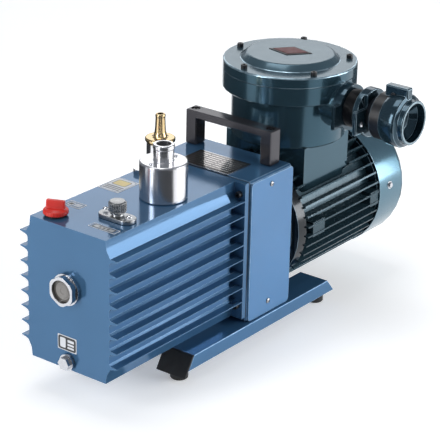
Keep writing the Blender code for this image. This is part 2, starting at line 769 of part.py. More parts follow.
def make_motor():
    axis = (0, SHAFT_Z)
    make_housing(axis)
    front = MOTOR_Y0
    front_profile = [
        (0.0262, HOUSING_Y[0] - GAP),
        (0.0330, HOUSING_Y[0] - GAP),
        (0.0340, front + 0.016),
        (0.0680, front + 0.016),
        (0.0700, HOUSING_Y[0] - GAP),
        (SHIELD_RADIUS, HOUSING_Y[0] - GAP),
        (SHIELD_RADIUS, front + 0.0080),
        (0.0770, front + 0.0060),
        (0.0770, front),
        (SHIELD_BORE, front),
        (SHIELD_BORE, front + 0.0100),
        (0.0262, front + 0.0100),
    ]
    turned("motor_front_shield", front_profile, "Y", axis, "teal", FINE)
    rear = HOUSING_Y[1] + GAP
    rear_profile = [
        (SHIELD_BORE, rear + 0.0120),
        (0.0330, rear + 0.0120),
        (0.0350, rear + 0.0070),
        (SHIELD_RADIUS, rear + 0.0070),
        (SHIELD_RADIUS, rear),
        (0.0400, rear),
        (0.0340, rear - 0.0080),
        (0.0262, rear - 0.0080),
        (0.0262, rear + 0.0085),
        (SHIELD_BORE, rear + 0.0085),
    ]
    turned("motor_rear_shield", rear_profile, "Y", axis, "teal", FINE)
    bearing = (SHAFT_BIG + GAP, 0.0259)
    ring("front_bearing", *bearing, "Y", front + 0.0103, front + 0.0233, axis, "steel")
    ring("rear_bearing", *bearing, "Y", rear - 0.0070, rear + 0.0082, axis, "steel")
    ring("stator_core", 0.0406, 0.0655, "Y", 0.4080, 0.5220, axis, "iron")
    ring("rotor_core", SHAFT_BIG + GAP, 0.0400, "Y", 0.4100, 0.5200, axis, "steel")
    shaft_profile = [
        (0, 0.5900),
        (SHAFT_RADIUS, 0.5900),
        (SHAFT_RADIUS, 0.5640),
        (SHAFT_BIG, 0.5640),
        (SHAFT_BIG, 0.3560),
        (SHAFT_RADIUS, 0.3560),
        (SHAFT_RADIUS, 0.2960),
        (0, 0.2960),
    ]
    turned("motor_shaft", shaft_profile, "Y", axis, "steel", 24)
    fan = ring("motor_fan", SHAFT_RADIUS + GAP, 0.0200, "Y", 0.5680, 0.5880, axis, "black", 24)
    plate = ring("motor_fan_plate", 0.0150, 0.0740, "Y", 0.5680, 0.5705, axis)
    join(fan, plate)
    blade_count, blade_half = 8, 0.0011
    for i in range(blade_count):
        name = f"motor_blade_{i}"
        join(fan, blade(name, (0.0160, 0.0720), (0.5695, 0.5880), blade_half, i / blade_count))
    make_cowl(axis)


def make_housing(axis):
    """A tube with long cooling fins."""
    fin_count, root, tip_half, foot_half = 40, ROOT_RADIUS, 0.0011, 0.0020
    outline = []
    for i in range(fin_count):
        angle = 2 * math.pi * (i + 0.5) / fin_count
        outline.append(polar(root, angle - foot_half / root, *axis))
        outline.append(polar(HOUSING_RADIUS, angle - tip_half / HOUSING_RADIUS, *axis))
        outline.append(polar(HOUSING_RADIUS, angle + tip_half / HOUSING_RADIUS, *axis))
        outline.append(polar(root, angle + foot_half / root, *axis))
    housing = prism("motor_housing", outline, "Y", *HOUSING_Y, "teal")
    pad_x, pad_half = (0.0740, 0.0892), 0.0105
    for side in (1, -1):
        low, high = sorted(side * x for x in pad_x)
        for name, start, end in (("front", 0.3900, 0.4170), ("rear", 0.5290, HOUSING_Y[1])):
            corners = (low, start, SHAFT_Z - pad_half), (high, end, SHAFT_Z + pad_half)
            join(housing, box(f"housing_pad_{name}_{side}", *corners))
    room = box(
        "stem_clearing",
        (-CLEARING_X, TERMINAL_Y - STEM_Y - 0.0005, 0.1760),
        (CLEARING_X, TERMINAL_Y + STEM_Y + 0.0005, 0.2400),
    )
    cut(room, drum("stem_seat", ROOT_RADIUS, "Y", 0.3700, 0.5600, axis, sides=FINE))
    cut(housing, room, drum("housing_bore", 0.0660, "Y", 0.3600, 0.5600, axis, sides=FINE))


def make_cowl(axis):
    wall = 0.0016
    front, rear = COWL_Y
    corner = 0.0130
    angles = [math.radians(30 * i) for i in range(4)]
    outer = [
        (COWL_RADIUS - corner * (1 - math.sin(angle)), rear - corner * (1 - math.cos(angle)))
        for angle in angles
    ]
    inner = [
        (radius - wall * math.sin(angle), height - wall * math.cos(angle))
        for (radius, height), angle in zip(outer, angles)
    ]
    profile = [(0.0100, rear)] + outer + [(COWL_RADIUS, front), (COWL_RADIUS - wall, front)]
    profile += list(reversed(inner)) + [(0.0100, rear - wall)]
    cowl = turned("fan_cowl", profile, "Y", axis, "teal", FINE)
    slot_count = 8
    for i in range(slot_count):
        outline = sector(0.0300, 0.0640, 360 * i / slot_count, 14, 1)
        cut(cowl, prism(f"cowl_slot_{i}", outline, "Y", rear - 0.01, rear + 0.01))


# ---------------------------------------------------------------- terminal box and gland

WELL_Z, ROOM_Z = 0.2400, 0.2780
GLAND_BOSS_RADIUS = 0.0318
EAR_THICK, EAR_REACH, EAR_LOW, EAR_HIGH = 0.0060, 0.0430, 0.0220, 0.0120


def make_terminal_box():
    at = (0, TERMINAL_Y)
    stem = prism(
        "terminal_box",
        rounded((-STEM_X, TERMINAL_Y - STEM_Y), (STEM_X, TERMINAL_Y + STEM_Y), 0.012),
        "Z",
        0.1750,
        0.2800,
        "teal",
    )
    boss = box(
        "stem_boss",
        (-STEM_X - 0.0015, TERMINAL_Y - STEM_Y + 0.0008, 0.1849),
        (STEM_X + 0.0015, TERMINAL_Y + STEM_Y - 0.0008, 0.2376),
    )
    profile = [
        (0, TERMINAL_JOINT_Z - GAP),
        (TERMINAL_RADIUS, TERMINAL_JOINT_Z - GAP),
        (TERMINAL_RADIUS, 0.3010),
        (0.0895, 0.2995),
        (0.0800, 0.2990),
        (0.0780, 0.2970),
        (0.0780, 0.2380),
        (0.0765, 0.2360),
        (0, 0.2360),
    ]
    head = turned("terminal_head", profile, "Z", at, sides=FINE)
    gland_at = (TERMINAL_Y, GLAND_Z)
    gland_boss = drum("gland_boss", GLAND_BOSS_RADIUS, "X", 0.0500, TERMINAL_RADIUS, gland_at)
    saddle_radius = (ROOT_RADIUS + GAP) / math.cos(math.pi / FINE)
    saddle = drum("terminal_saddle", saddle_radius, "Y", 0.3600, 0.5480, (0, SHAFT_Z), sides=FINE)
    room = drum("terminal_room", 0.0640, "Z", ROOM_Z, 0.3400, at)
    well = box(
        "terminal_well",
        (-STEM_X + 0.009, TERMINAL_Y - STEM_Y + 0.008, WELL_Z),
        (STEM_X - 0.009, TERMINAL_Y + STEM_Y - 0.008, ROOM_Z + 0.005),
    )
    duct = drum("terminal_duct", 0.0150, "Z", 0.1900, 0.2500, at, sides=COARSE)
    socket = drum("gland_socket", 0.0163, "X", 0.0300, 0.1200, gland_at, sides=24)
    cut(join(join(join(stem, boss), head), gland_boss), saddle, room, well, duct, socket)
    cover_profile = [
        (0, TERMINAL_TOP_Z),
        (0.0570, TERMINAL_TOP_Z),
        (0.0600, TERMINAL_TOP_Z - 0.0012),
        (0.0670, TERMINAL_RIM_Z + 0.0006),
        (0.0690, TERMINAL_RIM_Z),
        (TERMINAL_RADIUS - 0.0012, TERMINAL_RIM_Z),
        (TERMINAL_RADIUS, TERMINAL_RIM_Z - 0.0012),
        (TERMINAL_RADIUS, TERMINAL_JOINT_Z),
        (0.0600, TERMINAL_JOINT_Z),
        (0.0540, TERMINAL_TOP_Z - 0.0090),
        (0, TERMINAL_TOP_Z - 0.0090),
    ]
    turned("terminal_cover", cover_profile, "Z", at, "teal", FINE)
    block = box(
        "terminal_block",
        (-0.0300, TERMINAL_Y - 0.0220, WELL_Z + GAP),
        (0.0300, TERMINAL_Y + 0.0220, 0.2640),
        "yellow",
    )
    for i in range(3):
        groove = box(
            f"terminal_groove_{i}",
            (-0.0230 + 0.0180 * i, TERMINAL_Y - 0.03, 0.2560),
            (-0.0130 + 0.0180 * i, TERMINAL_Y + 0.03, 0.2700),
        )
        cut(block, groove)


def clamp_ear(name, end_x):
    """A flat ear that stands out to the front of a gland piece, its outer face at end_x."""
    low = (end_x - EAR_THICK, TERMINAL_Y - EAR_REACH, GLAND_Z - EAR_LOW)
    return round_edges(box(name, low, (end_x, TERMINAL_Y, GLAND_Z + EAR_HIGH)), 0.0015, 1)


def make_gland():
    """Three turned pieces on the gland's own axis: a threaded entry, a clamp and an end bell."""
    at = (TERMINAL_Y, GLAND_Z)
    wall_x = TERMINAL_RADIUS + GAP
    hub_end_x, clamp_x, clamp_end_x = 0.1035, 0.1232, 0.1372
    entry_profile = [
        (0, clamp_x - GAP),
        (0.0240, clamp_x - GAP),
        (0.0240, hub_end_x),
        (0.0310, hub_end_x),
        (0.0315, wall_x),
        (0.0160, wall_x),
        (0.0160, 0.0700),
        (0, 0.0700),
    ]
    entry = turned("gland_entry", entry_profile, "X", at, "teal")
    entry_bore = drum("entry_bore", 0.0125, "X", 0.0600, 0.1300, at)
    cut(join(entry, clamp_ear("entry_ear", hub_end_x)), entry_bore)
    clamp_profile = [
        (0, clamp_end_x),
        (0.0320, clamp_end_x),
        (0.0330, clamp_end_x - 0.0010),
        (0.0330, clamp_x + 0.0012),
        (0.0320, clamp_x),
        (0, clamp_x),
    ]
    clamp = turned("gland_clamp", clamp_profile, "X", at, "teal")
    shoulder = box(
        "clamp_shoulder",
        (clamp_end_x - EAR_THICK, TERMINAL_Y - EAR_REACH, GLAND_Z + EAR_HIGH - 0.0020),
        (clamp_end_x + 0.0050, TERMINAL_Y - 0.0170, GLAND_Z + 0.0400),
    )
    cut(clamp, shoulder)
    clamp_bore = drum("clamp_bore", 0.0125, "X", 0.1000, 0.1600, at)
    cut(join(clamp, clamp_ear("clamp_ear", clamp_end_x)), clamp_bore)
    bell_profile = [
        (0, GLAND_END_X),
        (0.0290, GLAND_END_X),
        (0.0300, GLAND_END_X - 0.0012),
        (0.0300, 0.1915),
        (0.0312, 0.1900),
        (0.0345, 0.1885),
        (0.0358, 0.1850),
        (0.0358, 0.1790),
        (0.0345, 0.1690),
        (0.0325, 0.1645),
        (0.0318, 0.1635),
        (0.0318, 0.1490),
        (0.0215, clamp_end_x + GAP),
        (0, clamp_end_x + GAP),
    ]
    bell = turned("gland_bell", bell_profile, "X", at, "teal")
    lug = box(
        "bell_lug", (0.1560, TERMINAL_Y - 0.0062, GLAND_Z), (0.1905, TERMINAL_Y + 0.0062, 0.3375)
    )
    mouth_profile = [(0, 0.2100), (0.0262, 0.2100), (0.0262, 0.1880), (0.0190, 0.1780), (0, 0.1780)]
    mouth = turned("bell_mouth", mouth_profile, "X", at)
    narrow = drum("bell_throat", 0.0125, "X", 0.1300, 0.1900, at)
    cut(join(bell, round_edges(lug, 0.0015, 1)), mouth, narrow)


make_oil_box()
make_gasket()
make_top_fittings()
make_ports()
make_front_fittings()
make_bracket()
make_side_plates()
make_data_plate()
make_handle()
make_base(1, "right")
make_base(-1, "left")
make_pump_block()
make_coupling()
make_motor()
make_terminal_box()
make_gland()
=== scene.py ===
import math

import bmesh
import bpy
from mathutils import Matrix, Vector


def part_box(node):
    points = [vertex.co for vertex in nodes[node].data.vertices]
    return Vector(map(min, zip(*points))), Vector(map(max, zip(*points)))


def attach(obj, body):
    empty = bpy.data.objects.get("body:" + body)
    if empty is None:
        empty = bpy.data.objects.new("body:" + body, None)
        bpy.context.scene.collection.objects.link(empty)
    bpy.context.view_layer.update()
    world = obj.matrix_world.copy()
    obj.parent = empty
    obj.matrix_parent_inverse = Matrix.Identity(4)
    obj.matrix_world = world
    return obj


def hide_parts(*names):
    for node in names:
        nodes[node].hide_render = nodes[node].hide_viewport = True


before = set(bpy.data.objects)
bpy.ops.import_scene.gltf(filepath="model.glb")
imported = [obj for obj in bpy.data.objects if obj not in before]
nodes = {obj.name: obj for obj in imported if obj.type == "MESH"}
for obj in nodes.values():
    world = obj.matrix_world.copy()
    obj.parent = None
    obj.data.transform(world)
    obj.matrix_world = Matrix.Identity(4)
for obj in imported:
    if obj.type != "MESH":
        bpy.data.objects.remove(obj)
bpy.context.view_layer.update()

# Positions are given as the part gives them: x from the shaft's upright plane, y from the oil
# box's front face and z from the floor, all in metres.
SHAFT_X = sum(corner.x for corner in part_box("motor_shaft")) / 2
FRONT_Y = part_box("oil_box")[0].y
SHAFT_Z = sum(corner.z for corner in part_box("motor_shaft")) / 2


def at(x, y, z):
    return Vector((SHAFT_X + x, FRONT_Y + y, z))


# ---------------------------------------------------------------- materials

# Noise mostly stays between these values, which are stretched over the whole range.
NOISE_LOW, NOISE_HIGH = 0.3, 0.7
# The sockets of a Mix node that blends colours.
MIX_FACTOR, MIX_FIRST, MIX_SECOND, MIX_RESULT = 0, 6, 7, 2
# How large the patches of lighter edge are, and the share of it that every edge has; the lighter edges are
# partly wear and partly a painted highlight.
WEAR_AND_HIGHLIGHT_SCALE, WEAR_AND_HIGHLIGHT_LEAST = 90.0, 0.25
WHITE, EVEN = (1.0, 1.0, 1.0, 1.0), (1.0, 1.0, 1.0)


class Shader:
    """Builds one Principled material with noise on its colour, roughness and surface."""

    def __init__(self, name, color, roughness, metallic=0.0):
        self.mat = bpy.data.materials.new(name)
        self.mat.use_nodes = True
        self.tree = self.mat.node_tree
        self.bsdf = self.tree.nodes["Principled BSDF"]
        self.color = color
        self.bsdf.inputs["Base Color"].default_value = (*color, 1.0)
        self.bsdf.inputs["Roughness"].default_value = roughness
        self.bsdf.inputs["Metallic"].default_value = metallic
        self.mat.diffuse_color = (*color, 1.0)
        self.height = None
        self.paint = None

    def add(self, kind, **values):
        node = self.tree.nodes.new(kind)
        for key, value in values.items():
            if key in node.inputs:
                node.inputs[key].default_value = value
            else:
                setattr(node, key, value)
        return node

    def link(self, source, target):
        self.tree.links.new(source, target)

    def coords(self, stretch=EVEN):
        place = self.add("ShaderNodeTexCoord")
        mapping = self.add("ShaderNodeMapping")
        mapping.inputs["Scale"].default_value = stretch
        self.link(place.outputs["Object"], mapping.inputs["Vector"])
        return mapping.outputs["Vector"]

    def rings(self):
        """Coordinates that run outwards and along the piece's own Z axis, for turned metal."""
        place = self.add("ShaderNodeTexCoord")
        split = self.add("ShaderNodeSeparateXYZ")
        flat = self.add("ShaderNodeCombineXYZ")
        size = self.add("ShaderNodeVectorMath", operation="LENGTH")
        join = self.add("ShaderNodeCombineXYZ")
        self.link(place.outputs["Object"], split.inputs[0])
        self.link(split.outputs["X"], flat.inputs["X"])
        self.link(split.outputs["Y"], flat.inputs["Y"])
        self.link(flat.outputs[0], size.inputs[0])
        self.link(size.outputs["Value"], join.inputs["X"])
        self.link(split.outputs["Z"], join.inputs["Z"])
        return join.outputs[0]

    def noise(self, vector, scale, detail=4.0):
        node = self.add("ShaderNodeTexNoise", Scale=scale, Detail=detail)
        self.link(vector, node.inputs["Vector"])
        return node.outputs["Fac"]

    def spread(self, value, low, high):
        """Stretches noise over the range from low to high."""
        node = self.add("ShaderNodeMapRange")
        node.inputs["From Min"].default_value = NOISE_LOW
        node.inputs["From Max"].default_value = NOISE_HIGH
        node.inputs["To Min"].default_value = low
        node.inputs["To Max"].default_value = high
        self.link(value, node.inputs["Value"])
        return node.outputs["Result"]

    def mix(self, factor, first, second):
        node = self.add("ShaderNodeMix", data_type="RGBA")
        self.link(factor, node.inputs[MIX_FACTOR])
        for value, socket in ((first, node.inputs[MIX_FIRST]), (second, node.inputs[MIX_SECOND])):
            if isinstance(value, tuple):
                socket.default_value = (*value, 1.0)
            else:
                self.link(value, socket)
        return node.outputs[MIX_RESULT]

    def mottle(self, vector, scale, amount, detail=4.0):
        """Lets the colour drift a little lighter and darker."""
        dark = tuple(c * (1.0 - amount) for c in self.color)
        light = tuple(min(1.0, c * (1.0 + amount)) for c in self.color)
        fac = self.spread(self.noise(vector, scale, detail), 0.0, 1.0)
        self.paint = self.mix(fac, dark, light)
        self.link(self.paint, self.bsdf.inputs["Base Color"])
        return self

    def worn_and_highlit_edges(self, color, strength):
        """Lightens the bevelled edges, partly as wear and partly as a painted highlight along them, more in
        some places than in others.
        """
        edge = self.add("ShaderNodeAttribute", attribute_name="edge")
        noise = self.noise(self.coords(), WEAR_AND_HIGHLIGHT_SCALE)
        patches = self.spread(noise, WEAR_AND_HIGHLIGHT_LEAST * strength, strength)
        both = self.add("ShaderNodeMath", operation="MULTIPLY")
        self.link(edge.outputs["Fac"], both.inputs[0])
        self.link(patches, both.inputs[1])
        self.paint = self.mix(both.outputs[0], self.paint, color)
        self.link(self.paint, self.bsdf.inputs["Base Color"])
        return self

    def rough(self, vector, scale, low, high, detail=5.0):
        value = self.spread(self.noise(vector, scale, detail), low, high)
        self.link(value, self.bsdf.inputs["Roughness"])
        return self

    def bump(self, vector, scale, distance, strength=0.4, detail=3.0):
        node = self.add("ShaderNodeBump", Strength=strength, Distance=distance)
        self.link(self.noise(vector, scale, detail), node.inputs["Height"])
        if self.height is not None:
            self.link(self.height, node.inputs["Normal"])
        self.height = node.outputs["Normal"]
        self.link(self.height, self.bsdf.inputs["Normal"])
        return self

    def set(self, **values):
        for key, value in values.items():
            self.bsdf.inputs[key.replace("_", " ")].default_value = value
        return self


def painted(name, color, edge, low, high, coat=0.0, metallic=0.0):
    """Paint with a fine orange-peel surface; its metallic part tints what it reflects."""
    shader = Shader(name, color, low, metallic)
    flat = shader.coords()
    # The edge colour lightens the bevelled edges, partly as wear and partly as a painted highlight.
    shader.mottle(flat, scale=9.0, amount=0.05).worn_and_highlit_edges(edge, strength=0.8)
    shader.rough(flat, scale=60.0, low=low, high=high)
    shader.bump(flat, scale=900.0, distance=0.000008, strength=0.3)
    shader.bump(flat, scale=140.0, distance=0.00003, strength=0.2)
    return shader.set(Coat_Weight=coat, Coat_Roughness=0.06, IOR=1.38).mat


def turned(name, color, low, high, spin=0.0):
    """Turned metal; spin draws its highlights out along the axis, as fine turning marks do."""
    shader = Shader(name, color, low, 1.0)
    rings = shader.rings()
    if spin:
        tangent = shader.add("ShaderNodeTangent", direction_type="RADIAL", axis="Z")
        shader.link(tangent.outputs[0], shader.bsdf.inputs["Tangent"])
        shader.set(Anisotropic=spin, Anisotropic_Rotation=0.25)
    shader.mottle(rings, scale=260.0, amount=0.012)
    shader.rough(rings, scale=300.0, low=low, high=high, detail=1.0)
    return shader.bump(rings, scale=3200.0, distance=0.0000004, strength=0.2).mat


def brushed(name, color, low, high, stretch=EVEN, metallic=1.0, depth=0.000006):
    """Metal with a fine grain, which stretch squeezes along an axis into lines across it."""
    shader = Shader(name, color, low, metallic)
    lines = shader.coords(stretch)
    shader.mottle(lines, scale=420.0, amount=0.06).rough(lines, scale=600.0, low=low, high=high)
    return shader.bump(lines, scale=1500.0, distance=depth, strength=0.3).mat


def moulded(name, color, low, high, grain=1500.0, depth=0.00005):
    """Plastic, rubber, print or glass with a fine grain of the given depth."""
    shader = Shader(name, color, low)
    flat = shader.coords()
    shader.mottle(flat, scale=30.0, amount=0.12).rough(flat, scale=80.0, low=low, high=high)
    return shader.bump(flat, scale=grain, distance=depth, strength=0.35).mat


def cast(name, color, low, high):
    """Rough metal as it comes out of the mould."""
    shader = Shader(name, color, low, 0.85)
    flat = shader.coords()
    shader.mottle(flat, scale=120.0, amount=0.2).rough(flat, scale=200.0, low=low, high=high)
    return shader.bump(flat, scale=700.0, distance=0.00015, strength=0.5).mat


# A paint gives its colour, its edges' colour (partly wear, partly a painted highlight), its roughness
# from and to, its clear coat and its metallic share. The others give their colour and their roughness from
# and to.
BLUE = painted("blue_enamel", (0.056, 0.145, 0.275), (0.44, 0.63, 0.84), 0.12, 0.16, 0.1, 0.42)
BLUE_SHEET = painted("blue_sheet_paint", (0.066, 0.190, 0.385), (0.46, 0.66, 0.86), 0.20, 0.25, 0.2)
BLUE_RAIL = painted("blue_rail_paint", (0.054, 0.155, 0.300), (0.30, 0.48, 0.72), 0.14, 0.20, 0.1, 0.42)
TEAL = painted("motor_paint", (0.040, 0.092, 0.126), (0.50, 0.66, 0.76), 0.16, 0.20, 0.2, 0.7)
# A darker copy of the motor paint for the finned housing, painted shade among the fins.
TEAL_FINS_SHADED = painted("motor_fin_painted_shade", (0.026, 0.058, 0.078), (0.60, 0.74, 0.82), 0.24, 0.30, 0.1, 0.5)
# A lighter paint for the face round the gland's mouth, a painted highlight.
TEAL_MOUTH_HIGHLIGHT = painted("gland_mouth_painted_highlight", (0.200, 0.270, 0.310), (0.50, 0.66, 0.76), 0.18, 0.24, 0.2, 0.7)
TEAL_DARK = painted("gland_paint", (0.026, 0.058, 0.082), (0.50, 0.66, 0.76), 0.12, 0.16, 0.3, 0.65)
TEAL_SHIELD = painted("motor_end_paint", (0.007, 0.011, 0.015), (0.30, 0.42, 0.50), 0.10, 0.15, 0.1, 0.5)
TEAL_COWL = painted("cowl_paint", (0.100, 0.195, 0.255), (0.50, 0.66, 0.76), 0.17, 0.21, 0.2, 0.8)
# A lighter copy of the motor paint for the cover's upward faces, a painted highlight.
TEAL_LIT_TOP = painted("motor_cover_painted_highlight", (0.070, 0.125, 0.160), (0.50, 0.66, 0.76), 0.22, 0.26, 0.2, 0.6)
POLISHED = turned("polished_aluminium", (0.70, 0.70, 0.72), 0.10, 0.14)
TURNED = turned("turned_aluminium", (0.74, 0.74, 0.76), 0.22, 0.24, spin=0.7)
CHROME = turned("bright_steel", (0.60, 0.61, 0.64), 0.14, 0.18)
CHROME_PLATE = brushed("bright_plate", (0.60, 0.61, 0.64), 0.14, 0.18, depth=0.000001)
SATIN_PLATE = brushed("satin_plate", (0.40, 0.41, 0.42), 0.26, 0.32, depth=0.000001)
KNOB = turned("satin_knob", (0.38, 0.385, 0.39), 0.24, 0.30)
BRASS = turned("polished_brass", (0.62, 0.465, 0.255), 0.14, 0.18)
COPPER = turned("copper", (0.72, 0.38, 0.24), 0.20, 0.32)
STEEL = brushed("machined_steel", (0.46, 0.46, 0.48), 0.22, 0.36, (1.0, 8.0, 1.0))
PLATE_BORDER = brushed("plate_border", (0.52, 0.54, 0.57), 0.14, 0.24, (1.0, 6.0, 1.0))
PLATE_BLACK = brushed("plate_black", (0.15, 0.14, 0.14), 0.06, 0.09, metallic=0.9, depth=0.000001)
PLATE_LINES = brushed("plate_lines", (0.62, 0.59, 0.56), 0.16, 0.22, metallic=0.9, depth=0.000001)
IRON = cast("cast_iron", (0.17, 0.17, 0.18), 0.42, 0.60)
HANDLE_BLACK = brushed("black_anodised", (0.072, 0.070, 0.078), 0.18, 0.26, (1.0, 1.0, 7.0), 0.75)
# The handle's bevelled edges get a lighter anodised finish, a painted highlight along them.
HANDLE_EDGE_HIGHLIGHT = brushed("anodised_edge_highlight", (0.50, 0.48, 0.48), 0.24, 0.34, (1.0, 1.0, 7.0), 0.2)
BLACK = moulded("black_plastic", (0.020, 0.020, 0.022), 0.35, 0.50)
SOCKET_BLACK = moulded("blackened_steel", (0.006, 0.007, 0.010), 0.30, 0.42, 900.0, 0.00001)
RUBBER = moulded("black_rubber", (0.012, 0.012, 0.013), 0.50, 0.68)
RED = moulded("red_plastic", (0.62, 0.024, 0.016), 0.26, 0.34, 800.0, 0.00001)
DULL_RED = moulded("dull_red_paint", (0.10, 0.010, 0.014), 0.40, 0.55, 800.0, 0.00002)
SPIDER = moulded("red_elastomer", (0.35, 0.03, 0.02), 0.45, 0.6)
FIBRE = moulded("vane_fibre", (0.12, 0.09, 0.06), 0.5, 0.65)
RESIN = moulded("terminal_resin", (0.55, 0.38, 0.10), 0.35, 0.5)
STICKER = moulded("white_sticker", (0.62, 0.64, 0.67), 0.30, 0.42, 400.0, 0.00002)
INK = moulded("black_print", (0.020, 0.021, 0.024), 0.32, 0.44, 400.0, 0.00002)
GREY_INK = moulded("grey_print", (0.16, 0.17, 0.19), 0.32, 0.44, 400.0, 0.00002)
BLUE_PRINT = moulded("blue_print", (0.085, 0.155, 0.260), 0.28, 0.40, 400.0, 0.00002)
YELLOW_INK = moulded("yellow_print", (0.68, 0.55, 0.22), 0.30, 0.42, 400.0, 0.00002)
SILVER = moulded("silver_sticker", (0.36, 0.38, 0.40), 0.22, 0.34, 400.0, 0.00002)
GLASS = moulded("sight_glass", (0.085, 0.078, 0.070), 0.05, 0.09, 300.0, 0.000005)
OIL_TARGET = moulded("oil_target", (0.20, 0.19, 0.18), 0.30, 0.40, 300.0, 0.00001)


# ---------------------------------------------------------------- mesh tools

# Edges sharper than this are rounded, and flatter ones than this are shaded smooth, in degrees.
SHARP_ANGLE, SMOOTH_ANGLE = 28.0, 40.0
# Vertices this close are one, and faces that meet this flat are one, in metres and degrees.
WELD_REACH, FLAT_ANGLE = 0.00002, 0.8
ON_AXIS = 1e-7

def finish_mesh(bm, name, materials, smooth=SMOOTH_ANGLE):
    """Makes an object from bm, shades it smooth up to the given angle and keeps flats flat."""
    bmesh.ops.recalc_face_normals(bm, faces=bm.faces)
    for face in bm.faces:
        face.smooth = True
    for edge in bm.edges:
        edge.smooth = len(edge.link_faces) == 2 and edge.calc_face_angle() < math.radians(smooth)
    mesh = bpy.data.meshes.new(name)
    bm.to_mesh(mesh)
    bm.free()
    for mat in materials if isinstance(materials, (list, tuple)) else [materials]:
        mesh.materials.append(mat)
    piece = bpy.data.objects.new(name, mesh)
    bpy.context.scene.collection.objects.link(piece)
    weighted = piece.modifiers.new("flat_faces", "WEIGHTED_NORMAL")
    weighted.keep_sharp = True
    return piece


def bevel(bm, width, segments):
    """Rounds the sharp edges and marks the new faces for the lighter edge paint, partly wear and partly a
    painted highlight.
    """
    layer = bm.faces.layers.float.get("edge") or bm.faces.layers.float.new("edge")
    sharp = [
        edge for edge in bm.edges
        if len(edge.link_faces) == 2 and edge.calc_face_angle() > math.radians(SHARP_ANGLE)
    ]
    made = bmesh.ops.bevel(
        bm, geom=sharp, offset=width, offset_type="OFFSET", segments=segments,
        profile=0.5, affect="EDGES", clamp_overlap=True,
    )
    for face in made["faces"]:
        face[layer] = 1.0


def node_mesh(node):
    """The CAD node's mesh with its vertices joined and its flat faces made whole."""
    bm = bmesh.new()
    bm.from_mesh(nodes[node].data)
    bmesh.ops.remove_doubles(bm, verts=bm.verts, dist=WELD_REACH)
    bmesh.ops.dissolve_limit(
        bm, angle_limit=math.radians(FLAT_ANGLE), verts=bm.verts, edges=bm.edges, delimit={"NORMAL"},
    )
    return bm


def show(piece, body, slot, *replaced):
    """Rides the piece on its body and hides the CAD nodes that it stands for; its finish, slot, is not used.
    """
    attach(piece, body)
    if replaced:
        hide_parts(*replaced)


def refine(node, material, slot, width, segments=2, body="frame", first=None):
    """Stands a copy of a CAD node with rounded edges in its place; first marks its faces."""
    bm = node_mesh(node)
    if first is not None:
        first(bm)
    bevel(bm, width, segments)
    show(finish_mesh(bm, node + "_finished", material), body, slot, node)


def middle_of(node):
    """The floor point under the middle of a node, and the node's box."""
    low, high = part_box(node)
    return Vector(((low.x + high.x) / 2, (low.y + high.y) / 2, 0.0)), low, high


def turn_matrix(place, axis, twist=0.0):
    """A frame at place whose Z runs along axis."""
    turn = Vector(axis).to_track_quat("Z", "Y").to_matrix().to_4x4()
    return Matrix.Translation(place) @ turn @ Matrix.Rotation(twist, 4, "Z")


def hexagon(apothem, angle):
    """How far a hexagon reaches at an angle."""
    third = math.pi / 3
    return apothem / math.cos((angle % third) - third / 2)


def lathe(bm, rings, count, matrix=None, wave=None):
    """Adds a closed turned shape. A ring is (radius, height), with "wave" after them where the wave
    is added to the radius, or (half width, height, "hex") for a hexagon."""
    loops = []
    for ring in rings:
        radius, height = ring[0], ring[1]
        if radius < ON_AXIS:
            loops.append([bm.verts.new((0.0, 0.0, height))])
            continue
        loop = []
        for i in range(count):
            angle = 2 * math.pi * i / count
            size = hexagon(radius, angle) if "hex" in ring[2:] else radius
            if wave and "wave" in ring[2:]:
                size += wave(angle)
            loop.append(bm.verts.new((size * math.cos(angle), size * math.sin(angle), height)))
        loops.append(loop)
    for first, second in zip(loops, loops[1:]):
        for i in range(count):
            j = (i + 1) % count
            corners = [first[i % len(first)], first[j % len(first)]]
            corners += [second[j % len(second)], second[i % len(second)]]
            kept = list(dict.fromkeys(corners))
            if len(kept) > 2:
                bm.faces.new(kept)
    for loop in (loops[0], loops[-1]):
        if len(loop) > 1:
            bm.faces.new(loop)
    if matrix is not None:
        verts = [vert for loop in loops for vert in loop]
        bmesh.ops.transform(bm, matrix=matrix, verts=verts)


def eased(points, radius):
    """Rounds every corner of a turned profile, as far as its neighbours leave room."""
    steps, share = 3, 0.45
    made = [points[0]]
    for before, here, after in zip(points, points[1:], points[2:]):
        a, b, c = (Vector(p[:2]) for p in (before, here, after))
        marks = here[2:]
        size = min(radius, (a - b).length * share, (c - b).length * share)
        start, end = b + (a - b).normalized() * size, b + (c - b).normalized() * size
        for i in range(steps + 1):
            t = i / steps
            spot = start * (1 - t) ** 2 + b * 2 * t * (1 - t) + end * t * t
            made.append((spot.x, spot.y, *marks))
    made.append(points[-1])
    return made


def turned_piece(name, rings, place, material, slot, body="frame", axis=(0, 0, 1), count=72,
                 wave=None, replaced=(), smooth=SMOOTH_ANGLE):
    """One turned object whose own Z is its axis."""
    bm = bmesh.new()
    lathe(bm, rings, count, wave=wave)
    piece = finish_mesh(bm, name, material, smooth)
    piece.matrix_world = turn_matrix(place, axis)
    show(piece, body, slot, *replaced)


def rounded_outline(half_u, half_v, corner, steps=5):
    """A rectangle with rounded corners."""
    points = []
    for quarter, (su, sv) in enumerate(((1, 1), (-1, 1), (-1, -1), (1, -1))):
        for i in range(steps + 1):
            angle = math.pi / 2 * (quarter + i / steps)
            points.append((
                su * (half_u - corner) + corner * math.cos(angle),
                sv * (half_v - corner) + corner * math.sin(angle),
            ))
    return points


